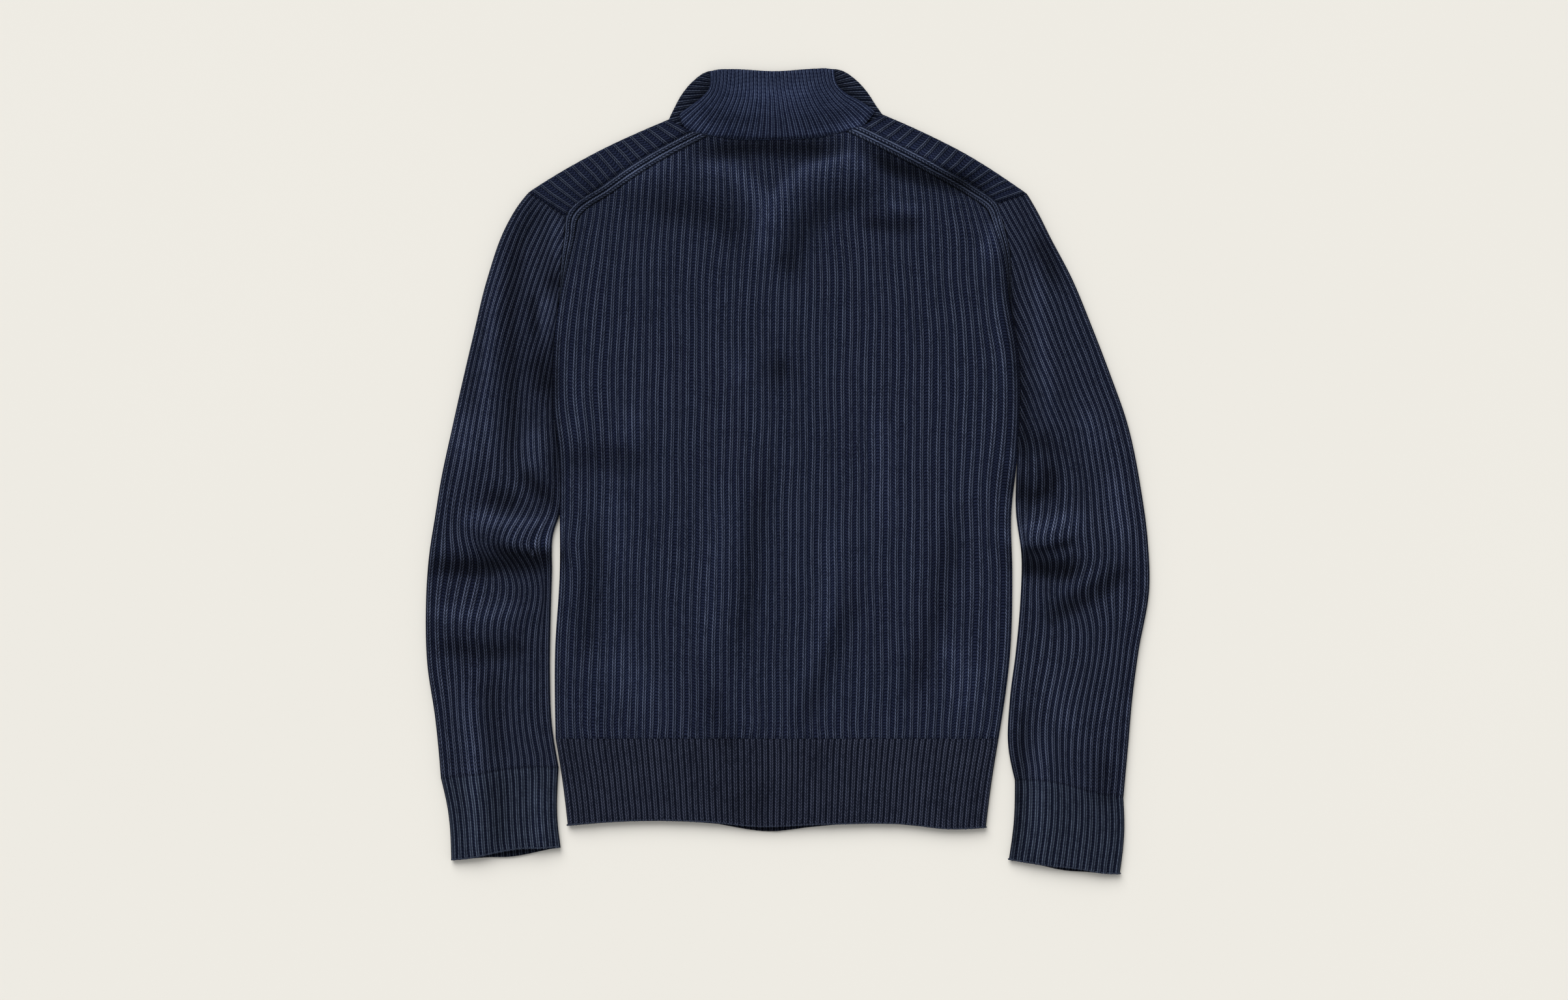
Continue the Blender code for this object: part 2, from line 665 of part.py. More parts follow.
def make_front(finish, collection, cutters):
    """The front: a plain wall that rests flat, open at the centre for the zip."""
    patch = front_patch()
    fold_end = patch.left.shares[UNDERARM_SECTION]
    knit = Knit(BODY_RIBS, 0.0, WIDE_CREST, folded=("left", "right"), fold_end=fold_end)
    nodes = sorted(set(list(patch.end.shares) + fold_columns(patch, knit.folded)))
    columns = with_nodes(10, nodes, 0.03)
    rows = list(patch.left.shares)
    top = [[(*patch.place(u, v), LOWER_WALL) for u in columns] for v in rows]
    low = grid(knit.underside, patch, columns, rows)
    panel = wall_panel("front_panel", top, columns, low, columns, finish, collection)
    slot = box(
        "zip_slot",
        (CENTRE_X - SLOT_HALF_WIDTH, ZIP_FOOT - 2.0, -5.0),
        (CENTRE_X + SLOT_HALF_WIDTH, ZIP_HEAD, 10.0),
        finish,
        cutters,
    )
    hide(slot)
    cut(panel, slot, "DIFFERENCE")
    return panel


def box(name, low, high, finish, collection):
    """A box between two corners, in millimetres."""
    bpy.ops.mesh.primitive_cube_add(size=1.0)
    made = bpy.context.active_object
    made.name = name
    made.data.name = name
    size = (np.array(high) - np.array(low)) * MM
    centre = (np.array(high) + np.array(low)) / 2 * MM
    for vertex in made.data.vertices:
        vertex.co = [vertex.co[axis] * size[axis] + centre[axis] for axis in range(3)]
    return settle(made, finish, collection)


def rod(name, centre, radius, length, finish, collection, axis="X"):
    """A cylinder along X or Z through a centre point, in millimetres."""
    turn = (0.0, math.radians(90), 0.0) if axis == "X" else (0.0, 0.0, 0.0)
    bpy.ops.mesh.primitive_cylinder_add(
        vertices=20,
        radius=radius * MM,
        depth=length * MM,
        location=np.array(centre) * MM,
        rotation=turn,
    )
    made = bpy.context.active_object
    made.name = name
    made.data.name = name
    return settle(made, finish, collection)


def settle(made, finish, collection):
    """Moves a new primitive into its collection and gives it its finish."""
    for holder in list(made.users_collection):
        holder.objects.unlink(made)
    collection.objects.link(made)
    made.data.materials.clear()
    made.data.materials.append(finish)
    return made


def put_origin(made, point):
    """Puts an object's origin at a point, in millimetres, and leaves its shape where it is."""
    origin = Vector(point) * MM
    for vertex in made.data.vertices:
        vertex.co -= origin
    made.location = origin


def hide(cutter):
    cutter.hide_render = True
    cutter.display_type = "WIRE"


def cut(target, tool, operation):
    """Adds a Boolean to an object. The tool stays in the file, hidden."""
    modifier = target.modifiers.new(f"{operation.lower()}_{tool.name}", "BOOLEAN")
    modifier.operation = operation
    modifier.solver = "EXACT"
    modifier.object = tool
    hide(tool)


def make_shoulder(name, fold, seam, finish, collection):
    """The front's shoulder extension, which lies on the back between its fold and its seam."""
    patch = Patch(
        fold,
        Edge(seam.points, unslanted(seam.shares)),
        Edge([fold.at(0), seam.at(0)]),
        Edge([fold.at(1), seam.at(1)]),
    )
    knit = Knit(SHOULDER_RIBS, SHOULDER_RIB_LIFT, SHOULDER_CREST, folded=("start",))
    rows = sorted(fold_rows(patch, knit.folded) + [0.55])
    nodes = merged_places(patch.end.shares, fold.shares, 0.01)
    return upper_panel(name, patch, knit, rows, nodes, 8, finish, collection)


def unslanted(shares):
    """Where along the fold each share of the seam is met by a slanted rib."""
    fold_share = np.linspace(0.0, 1.0, 201)
    seam_share = fold_share + SHOULDER_SLANT * np.sin(np.pi * fold_share)
    return np.interp(shares, seam_share, fold_share)


def make_sleeve(name, table, head, wrist, finish, collection):
    """A sleeve as a flattened tube from its seam with the body to the wrist."""
    plan = SleevePlan(table, head, wrist)
    knit = Knit(SLEEVE_RIBS, WIDE_RIB_LIFT, WIDE_CREST, folded=("left", "right"))
    rows = [step / 11 for step in range(12)]
    seam_shares = [0.0] + list(plan.shares[: plan.seam_sections])
    nodes = merged_places(seam_shares, plan.wrist.shares, 0.015)
    return flat_tube(name, plan, knit, rows, nodes, 8, 0.0, finish, collection)


def make_cuff(name, outer, inner, wrist, end, finish, collection):
    """A cuff as a flattened tube of finer rib, its mouth a little open."""
    start = Edge(np.array(wrist) - np.array([0.0, SEAM_GAP]))
    patch = Patch(start, Edge(end), Edge(outer), Edge(inner))
    patch.left.points[0] = start.points[0]
    patch.right.points[0] = start.points[-1]
    knit = Knit(CUFF_RIBS, FINE_RIB_LIFT, FINE_CREST, folded=("left", "right"))
    rows = [0.0, 0.35, 0.7, 1.0]
    nodes = merged_places(start.shares, patch.end.shares, 0.01)
    return flat_tube(name, patch, knit, rows, nodes, 6, CUFF_PEEK, finish, collection)


def make_hem(finish, collection):
    """The hem band as a flattened tube of finer rib, joined to both body panels."""
    start = Edge(np.array([HEM_LEFT[0], HEM_RIGHT[0]]) - np.array([0.0, SEAM_GAP]))
    left, right = Edge(HEM_LEFT), Edge(HEM_RIGHT)
    left.points[0] = start.points[0]
    right.points[0] = start.points[-1]
    patch = Patch(start, Edge(HEM_END), left, right)
    knit = Knit(HEM_RIBS, FINE_RIB_LIFT, FINE_CREST, folded=("left", "right"))
    rows = [0.0, 0.5, 1.0]
    nodes = list(patch.end.shares)
    return flat_tube("hem_band", patch, knit, rows, nodes, 12, HEM_PEEK, finish, collection)


def make_collar_back(finish, collection):
    """The collar's back, whose ribs fan out from its folded top to the neck seam."""
    foot = Edge(COLLAR_FOOT).moved(SEAM_GAP)
    left, right = Edge(COLLAR_LEFT), Edge(COLLAR_RIGHT)
    left.points[0] = foot.points[0]
    right.points[0] = foot.points[-1]
    patch = Patch(foot, Edge(COLLAR_TOP), left, right)
    knit = Knit(COLLAR_RIBS, FINE_RIB_LIFT, FINE_CREST, folded=("left", "right", "end"))
    rows = sorted(fold_rows(patch, ("end",)) + [0.33, 0.66])
    nodes = merged_places(foot.shares, patch.end.shares, 0.01)
    return upper_panel("collar_back", patch, knit, rows, nodes, 12, finish, collection)


def make_collar_front(name, ear, neckline, far_edge, side, finish, collection):
    """One front of the collar, under the back: its inner face shows as the ear beside it."""
    joined = Edge(neckline).moved(-side * SEAM_GAP).points
    outline = np.vstack([np.array(ear)[:-1], joined])
    start, end = Edge(outline), Edge(far_edge)
    patch = Patch(
        start, end, Edge([outline[0], far_edge[0]]), Edge([outline[-1], far_edge[-1]])
    )
    knit = Knit(COLLAR_RIBS, FINE_RIB_LIFT, FINE_CREST)
    ear_end = start.shares[len(ear) - 1]
    rows = [0.0, 1.5 / patch.length(0.2), 0.5, 1.0]
    nodes = merged_places(start.shares, end.shares, 0.01)
    top_u = rib_columns(knit.ribs, knit.crest_share, nodes)
    low_u = inside_columns(nodes, 8)
    valley = LOWER_WALL - FINE_RIB_LIFT

    def lip(u, v):
        near = v * patch.length(u) < 1.0 and u < ear_end
        return FOLD_LIP if near else 0.0

    top = []
    for v in rows:
        row = []
        for u in top_u:
            height = valley + knit.rib(u, v) - lip(u, v)
            row.append((*patch.place(u, v), height))
        top.append(row)
    low = [[(*patch.place(u, v), lip(u, v)) for u in low_u] for v in rows]
    return wall_panel(name, top, top_u, low, low_u, finish, collection)


def make_zip(finish_tape, finish_metal, collection, cutters):
    """The zip: two tapes, the closed chain, its bottom stop, the slider and the pull."""
    tape_low = CHAIN_HALF_WIDTH + 0.4
    for name, side in (("zip_tape_left", -1), ("zip_tape_right", 1)):
        near = CENTRE_X + side * tape_low
        far = near + side * TAPE_WIDTH
        low = (min(near, far), ZIP_FOOT - 6.0, UPPER_BASE)
        high = (max(near, far), ZIP_HEAD, UPPER_BASE + TAPE_THICKNESS)
        box(name, low, high, finish_tape, collection)
    mouth = ZIP_HEAD - SLIDER_LENGTH / 2
    chain_top = CHAIN_BOTTOM + CHAIN_HEIGHT
    box(
        "zip_chain",
        (CENTRE_X - CHAIN_HALF_WIDTH, ZIP_FOOT, CHAIN_BOTTOM),
        (CENTRE_X + CHAIN_HALF_WIDTH, mouth - 0.6, chain_top),
        finish_metal,
        collection,
    )
    stop = box(
        "zip_bottom_stop",
        (CENTRE_X - CHAIN_HALF_WIDTH, ZIP_FOOT - 5.0, CHAIN_BOTTOM),
        (CENTRE_X + CHAIN_HALF_WIDTH, ZIP_FOOT - SEAM_GAP, chain_top),
        finish_metal,
        collection,
    )
    bevel(stop, 0.4)
    make_slider(finish_metal, collection, cutters)
    make_pull(finish_metal, collection, cutters)


def bevel(target, width):
    modifier = target.modifiers.new("rounded_edges", "BEVEL")
    modifier.width = width * MM
    modifier.segments = 2
    modifier.limit_method = "ANGLE"


def make_slider(finish, collection, cutters):
    """The slider: two plates joined by a core, and two lugs that hold the pull's pin."""
    foot = ZIP_HEAD - SLIDER_LENGTH
    half = SLIDER_WIDTH / 2
    lower_top = UPPER_BASE - SEAM_GAP
    upper_low = CHAIN_BOTTOM + CHAIN_HEIGHT + SEAM_GAP
    slider = box(
        "zip_slider",
        (CENTRE_X - half, foot, lower_top - SLIDER_PLATE),
        (CENTRE_X + half, ZIP_HEAD, lower_top),
        finish,
        collection,
    )
    overlap = 0.2
    pieces = [
        (
            "slider_upper_plate",
            (-half, foot, upper_low),
            (half, ZIP_HEAD, upper_low + SLIDER_PLATE),
        ),
        (
            "slider_core",
            (-SLIDER_CORE_WIDTH / 2, foot + SLIDER_LENGTH / 2, lower_top - overlap),
            (SLIDER_CORE_WIDTH / 2, ZIP_HEAD - 0.5, upper_low + overlap),
        ),
    ]
    hinge_y = ZIP_HEAD - HINGE_SETBACK
    for name, side in (("slider_left_lug", -1), ("slider_right_lug", 1)):
        near, far = side * LUG_GAP / 2, side * (LUG_GAP / 2 + LUG_WIDTH)
        low = (min(near, far), hinge_y - 1.2, HINGE_Z - 0.8)
        high = (max(near, far), hinge_y + 1.2, lower_top - SLIDER_PLATE + overlap)
        pieces.append((name, low, high))
    for name, low, high in pieces:
        low = (low[0] + CENTRE_X, *low[1:])
        high = (high[0] + CENTRE_X, *high[1:])
        cut(slider, box(name, low, high, finish, cutters), "UNION")
    pin_length = LUG_GAP + LUG_WIDTH
    pin = rod(
        "slider_pin", (CENTRE_X, hinge_y, HINGE_Z), PIN_RADIUS, pin_length, finish, cutters
    )
    cut(slider, pin, "UNION")
    return slider


def make_pull(finish, collection, cutters):
    """The pull tab: a barrel round the slider's pin, a neck between the lugs, and a plate."""
    hinge = (CENTRE_X, ZIP_HEAD - HINGE_SETBACK, HINGE_Z)
    half = PULL_THICKNESS / 2
    tip = hinge[1] - PULL_LENGTH
    neck_end = hinge[1] - 3.0
    pull = box(
        "zip_pull",
        (CENTRE_X - PULL_WIDTH / 2, tip, HINGE_Z - half),
        (CENTRE_X + PULL_WIDTH / 2, neck_end, HINGE_Z + half),
        finish,
        collection,
    )
    put_origin(pull, hinge)
    neck = box(
        "pull_neck",
        (CENTRE_X - BARREL_WIDTH / 2, neck_end - 0.5, HINGE_Z - half + 0.05),
        (CENTRE_X + BARREL_WIDTH / 2, hinge[1], HINGE_Z + half - 0.05),
        finish,
        cutters,
    )
    cut(pull, neck, "UNION")
    barrel = rod("pull_barrel", hinge, BARREL_RADIUS, BARREL_WIDTH + 0.1, finish, cutters)
    cut(pull, barrel, "UNION")
    bore = rod("pull_bore", hinge, BORE_RADIUS, BARREL_WIDTH + 2.0, finish, cutters)
    cut(pull, bore, "DIFFERENCE")
    hole_centre = (CENTRE_X, tip + 4.0, HINGE_Z)
    hole = rod("pull_hole", hole_centre, PULL_HOLE_RADIUS, 6.0, finish, cutters, axis="Z")
    cut(pull, hole, "DIFFERENCE")
    return pull


def clear_scene():
    for thing in list(bpy.data.objects):
        bpy.data.objects.remove(thing, do_unlink=True)


def new_collection(name):
    made = bpy.data.collections.new(name)
    bpy.context.scene.collection.children.link(made)
    return made


def main():
    clear_scene()
    garment = new_collection(GARMENT)
    cutters = new_collection("cutters")
    knit = material("wide_rib_knit", KNIT_COLOUR, 0.9)
    fine_knit = material("fine_rib_knit", FINE_KNIT_COLOUR, 0.9)
    tape = material("zip_tape", TAPE_COLOUR, 0.8)
    metal = material("zip_metal", METAL_COLOUR, 0.35, metallic=1.0)

    make_back(knit, garment)
    make_front(knit, garment, cutters)

    left_seam = Edge(LEFT_SHOULDER_SEAM[::-1]).moved(-SEAM_GAP)
    right_seam = Edge(RIGHT_SHOULDER_SEAM).moved(SEAM_GAP)
    make_shoulder("left_shoulder", Edge(LEFT_SHOULDER_FOLD), left_seam, knit, garment)
    make_shoulder("right_shoulder", Edge(RIGHT_SHOULDER_FOLD), right_seam, knit, garment)

    left_sections = [row[:2] for row in BODY_SECTIONS[LEFT_APEX:]]
    right_sections = [row[2:] for row in BODY_SECTIONS[RIGHT_APEX:]]
    left_head = Edge([LEFT_SHOULDER_FOLD[-1]] + left_sections[::-1]).moved(-SEAM_GAP).points
    right_head = Edge([RIGHT_SHOULDER_FOLD[-1]] + right_sections[::-1]).moved(SEAM_GAP).points
    make_sleeve("left_sleeve", LEFT_SLEEVE, left_head, LEFT_WRIST, knit, garment)
    make_sleeve("right_sleeve", RIGHT_SLEEVE, right_head, RIGHT_WRIST, knit, garment)

    left_cuff = (LEFT_CUFF_OUTER, LEFT_CUFF_INNER, LEFT_WRIST, LEFT_CUFF_END)
    right_cuff = (RIGHT_CUFF_OUTER, RIGHT_CUFF_INNER, RIGHT_WRIST, RIGHT_CUFF_END)
    make_cuff("left_cuff", *left_cuff, fine_knit, garment)
    make_cuff("right_cuff", *right_cuff, fine_knit, garment)
    make_hem(fine_knit, garment)

    make_collar_back(fine_knit, garment)
    left_front = (LEFT_EAR, LEFT_NECKLINE, LEFT_FAR_EDGE, -1)
    right_front = (RIGHT_EAR, RIGHT_NECKLINE, RIGHT_FAR_EDGE, 1)
    make_collar_front("collar_front_left", *left_front, fine_knit, garment)
    make_collar_front("collar_front_right", *right_front, fine_knit, garment)
    make_zip(tape, metal, garment, cutters)


main()
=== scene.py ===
"""Dresses the quarter-zip sweater: washed navy rib knit, laid flat on its front, back up.

Plans are in millimetres in the frame of the solids (X across, Y from hem to collar, Z up) and
meshes are made in metres. Each knitted piece is a closed wall whose ribs are raised by one
Geometry Nodes tree, and its stitches follow a UV map of ribs across and courses along.
"""

import logging
import math
from dataclasses import dataclass, field
from enum import Enum

import bmesh
import bpy
import numpy as np
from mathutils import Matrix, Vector


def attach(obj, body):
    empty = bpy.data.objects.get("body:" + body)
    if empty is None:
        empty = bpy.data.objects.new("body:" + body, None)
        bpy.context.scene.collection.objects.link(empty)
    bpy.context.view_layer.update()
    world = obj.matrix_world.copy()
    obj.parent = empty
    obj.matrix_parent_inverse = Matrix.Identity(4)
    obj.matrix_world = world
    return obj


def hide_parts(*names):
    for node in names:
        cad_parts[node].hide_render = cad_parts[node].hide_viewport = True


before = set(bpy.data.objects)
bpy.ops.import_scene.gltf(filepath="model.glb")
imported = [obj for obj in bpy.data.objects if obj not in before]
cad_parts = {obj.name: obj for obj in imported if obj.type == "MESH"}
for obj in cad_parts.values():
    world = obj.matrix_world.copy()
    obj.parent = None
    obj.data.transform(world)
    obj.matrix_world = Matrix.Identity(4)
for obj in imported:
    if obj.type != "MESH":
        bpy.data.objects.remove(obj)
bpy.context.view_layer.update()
LOG = logging.getLogger("sweater")
MM = 0.001
KNIT_MAP = "knit"

# Layers of cloth, in millimetres: the upper one starts where the lower one ends
LOWER_WALL = 3.0
VALLEY_WALL = 2.4
FOLD_LIP = 0.2
BAND_WIDTH = 11.0
CENTRE_X = -9.5
# Two runs of an edge meet in a corner where they turn by more than this cosine allows
CORNER = math.cos(math.radians(50))
# Faces that meet at less than this angle are shaded as one surface
SMOOTH_ANGLE = math.radians(75)

# At a fold: how far from it the loft is whole, and how soon the wall fills
FOLD_FADE = 22.0
FOLD_FILL = 1.4
# Added columns and rows, at these distances from a fold and from an end
FOLD_STEPS = (0.12, 0.5, 1.2, 2.2)
END_STEPS = (0.15, 0.6, 1.3, 2.3, 3.6)
# Creases: a gain on every lift, and how their ends fade, in shares of their length
CREASE_GAIN = 1.3
CREASE_ENDS = (-0.16, 0.22)
# The zip lifts the cloth over it: how far beside it, then each rise, its start and its end in Y
ZIP_BESIDE = (16.0, 36.0)
ZIP_RISES = ((2.5, (20.0, 40.0), (330.0, 352.0)), (1.2, (275.0, 292.0), (322.0, 345.0)))
ZIP_SLOT_HALF, ZIP_SLOT_FOOT, ZIP_SLOT_TOP = 6.0, 48.0, 312.0
# Waves in which the ribs wander: their weight, their lengths along Y and X, and their phase
WAVES = ((1.0, 27.0, 41.0, 0.0), (0.35, 11.5, -13.0, 1.3), (0.9, 61.0, 19.0, 0.6),
         (0.7, 75.0, 4.7, 0.0))
# Painted light and shade: a step of it multiplies the cloth's colour by this, within these limits
SHADE_TONE_STEP = 1.19
TONE_LIMITS = (0.26, 1.5)
# Painted shade on the plain inner faces of panels and of tubes, in steps
PANEL_INSIDE_SHADE, TUBE_INSIDE_SHADE = -3.0, -4.0
# A face that sinks to a seam is darkened by this many steps of painted shade, and its ribs lose
# height down to a least share of it
DIP_SHADE = 1.5
DIP_FLAT, LEAST_RIB = 1.6, 0.25
# Where a tube's loft starts to rise beyond its seams, and where it is whole
LOFT_REACH = (5.0, 70.0)
TUBE_WALL = 3.4
MOUTH_FROM = 0.7
CAST_ON_INSET = 0.7
YARN_GLOSS = 0.04

BODY_RIBS = 58
SLEEVE_RIBS = 18
SHOULDER_RIBS = 17
CUFF_RIBS = 18
HEM_RIBS = 73
COLLAR_RIBS = 34
BAND_RIBS = 2
BAND_TURN = 3
BAND_SHARES = (0.10, 0.72, 0.92)

# Body, a row for each cross-section: left x, left y, right x, right y
BODY_SECTIONS = [
    (-227.5, -262.5, 207.5, -262.5),
    (-228.0, -176.5, 219.0, -176.5),
    (-223.5, -100.0, 221.0, -100.0),
    (-223.5, -41.5, 220.0, -41.5),
    (-224.5, 15.5, 226.0, 15.5),
    (-230.0, 61.5, 228.5, 61.5),
    (-229.5, 114.5, 227.0, 114.5),
    (-224.5, 166.0, 219.0, 166.0),
    (-221.0, 212.0, 218.5, 217.0),
    (-218.5, 232.0, 212.5, 241.5),
    (-217.0, 250.0, 205.5, 263.0),
]
UNDERARM_SECTION = 5
TIP_SHARE = 0.93
NECKLINE_HUG = 4.0
SHOULDER_SLANT = 0.07

LEFT_SHOULDER_SEAM = [(-217.0, 250.0), (-176.5, 283.5), (-132.5, 312.5), (-94.0, 333.0)]
BACK_NECK = [(-94.0, 333.0), (-52.0, 326.0), (-8.5, 325.0), (38.0, 329.0), (73.0, 338.0)]
RIGHT_SHOULDER_SEAM = [(73.0, 338.0), (141.5, 303.5), (185.0, 278.5), (205.5, 263.0)]
NECK_BAND_LEFT, NECK_BAND_RIGHT = (-76.2, 330.0), (56.9, 333.9)
LEFT_SHOULDER_FOLD = [(-116.5, 345.5), (-186.0, 314.0), (-233.0, 287.5), (-254.0, 274.0)]
RIGHT_SHOULDER_FOLD = [(93.5, 350.5), (131.0, 334.0), (175.5, 311.5), (235.5, 272.5)]

# Sleeves, a row for each cross-section: outer x, outer y, inner x, inner y, share let in
LEFT_SLEEVE = [
    (-254.0, 274.0, -217.0, 250.0, 0.50),
    (-264.0, 261.5, -218.5, 232.0, 0.56),
    (-275.5, 242.0, -221.0, 212.0, 0.63),
    (-295.0, 188.0, -224.5, 166.0, 0.78),
    (-308.0, 135.0, -229.5, 114.5, 0.88),
    (-319.0, 88.0, -230.0, 61.5, 0.95),
    (-329.5, 41.0, -224.5, 15.5, 0.985),
    (-340.0, -8.0, -223.5, -41.5, 1.0),
    (-346.0, -45.0, -230.0, -61.5, 1.0),
    (-351.5, -80.5, -231.0, -98.0, 1.0),
    (-355.0, -138.0, -232.5, -151.0, 1.0),
    (-353.5, -189.5, -233.0, -200.0, 1.0),
    (-346.0, -240.5, -231.0, -250.0, 1.0),
    (-340.0, -302.0, -224.5, -290.5, 1.0),
]
RIGHT_SLEEVE = [
    (235.5, 272.5, 205.5, 263.0, 0.33),
    (246.5, 253.5, 212.5, 241.5, 0.37),
    (257.5, 231.5, 218.5, 217.0, 0.44),
    (279.5, 189.5, 219.0, 166.0, 0.60),
    (299.0, 142.5, 227.0, 114.5, 0.70),
    (318.0, 93.0, 228.5, 61.5, 0.86),
    (333.0, 50.5, 226.0, 15.5, 1.0),
    (347.5, -18.5, 224.5, -39.0, 1.0),
    (354.0, -68.0, 230.0, -84.0, 1.0),
    (355.5, -115.0, 229.0, -125.0, 1.0),
    (345.0, -176.5, 224.5, -176.5, 1.0),
    (339.0, -221.5, 218.5, -225.0, 1.0),
    (334.5, -272.5, 217.0, -270.0, 1.0),
    (330.0, -320.0, 223.5, -303.5, 1.0),
]
# The row at which each sleeve leaves the body
LEFT_SEAM_ROW, RIGHT_SEAM_ROW = 7, 6
WRIST_HUG = 4.0
LEFT_WRIST = [(-340.0, -302.0), (-306.5, -298.0), (-268.0, -292.5), (-224.5, -290.5)]
RIGHT_WRIST = [(330.0, -320.0), (313.5, -319.0), (282.0, -310.5), (255.5, -305.0), (223.5, -303.5)]
LEFT_CUFF_OUTER = [(-340.0, -302.0), (-333.5, -331.5), (-330.0, -382.0)]
LEFT_CUFF_INNER = [(-224.5, -290.5), (-225.5, -345.0), (-222.5, -369.5)]
LEFT_CUFF_END = [(-330.0, -382.0), (-305.0, -379.0), (-287.0, -375.0), (-265.0, -371.0),
                 (-240.0, -370.0), (-222.5, -369.0)]
# Mouths: how far the lower layer shows, at which share across, and half how widely
LEFT_CUFF_MOUTH, RIGHT_CUFF_MOUTH = (6.6, 0.60, 0.27), (3.0, 0.46, 0.20)
RIGHT_CUFF_OUTER = [(330.0, -320.0), (331.0, -352.0), (326.5, -395.5)]
RIGHT_CUFF_INNER = [(223.5, -303.5), (222.5, -343.0), (217.5, -381.5)]
RIGHT_CUFF_END = [(326.5, -395.5), (308.0, -394.6), (292.0, -391.7), (276.0, -389.4),
                  (260.0, -388.0), (237.0, -384.6), (217.5, -381.5)]

HEM_LEFT = [(-227.5, -262.5), (-221.0, -302.5), (-215.5, -348.0)]
HEM_RIGHT = [(207.5, -262.5), (200.5, -306.0), (195.0, -350.0)]
HEM_END = [
    (-215.5, -348.0), (-176.5, -344.5), (-121.5, -343.0), (-69.0, -345.5), (-31.5, -349.0),
    (32.0, -347.0), (120.5, -347.0), (154.0, -351.0), (195.0, -350.0),
]
HEM_MOUTH = (4.6, 0.49, 0.10)

COLLAR_FOOT = [(-106.0, 351.5), (-103.0, 341.0)] + BACK_NECK + [(81.5, 347.0), (86.5, 354.0)]
COLLAR_TOP = [(-76.5, 392.6), (-68.0, 394.6), (-55.5, 395.0), (-11.5, 393.0), (29.5, 395.6),
              (38.0, 395.8), (46.5, 394.2)]
COLLAR_LEFT = [(-106.0, 351.5), (-96.0, 358.5), (-84.0, 367.5), (-77.0, 375.5), (-76.5, 392.6)]
COLLAR_RIGHT = [(86.5, 355.0), (72.0, 364.0), (57.0, 372.0), (49.0, 380.0), (46.5, 394.2)]
LEFT_EAR = [(-68.0, 394.4), (-80.0, 392.2), (-93.0, 383.0), (-103.5, 370.5), (-112.0, 355.0),
            (-116.5, 345.5)]
RIGHT_EAR = [(38.0, 395.6), (54.0, 393.6), (66.5, 385.5), (78.5, 372.7), (87.5, 359.0),
             (93.5, 350.5)]
LEFT_NECKLINE = [(-116.5, 345.5), (-97.0, 308.0), (-66.5, 276.0), (-38.0, 256.5), (-15.5, 249.5)]
RIGHT_NECKLINE = [(93.5, 350.5), (76.0, 308.0), (47.5, 276.0), (19.0, 256.5), (-3.5, 249.5)]
LEFT_FAR_EDGE = [(-66.0, 393.0), (-64.0, 370.0), (-56.0, 347.0), (-38.0, 324.0), (-15.5, 314.5)]
RIGHT_FAR_EDGE = [(38.0, 393.5), (40.0, 370.0), (37.0, 347.0), (19.0, 324.0), (-3.5, 314.5)]


@dataclass(frozen=True)
class Crease:
    """A soft ridge or trough of the upper layer, along a line in plan."""

    path: tuple[tuple[float, float], ...]
    half_width: float
    lift: float


@dataclass(frozen=True)
class Push:
    """A place where the ribs are drawn aside: its centre, its reach and how far they move."""

    centre: tuple[float, float]
    reach: tuple[float, float]
    shift: tuple[float, float]


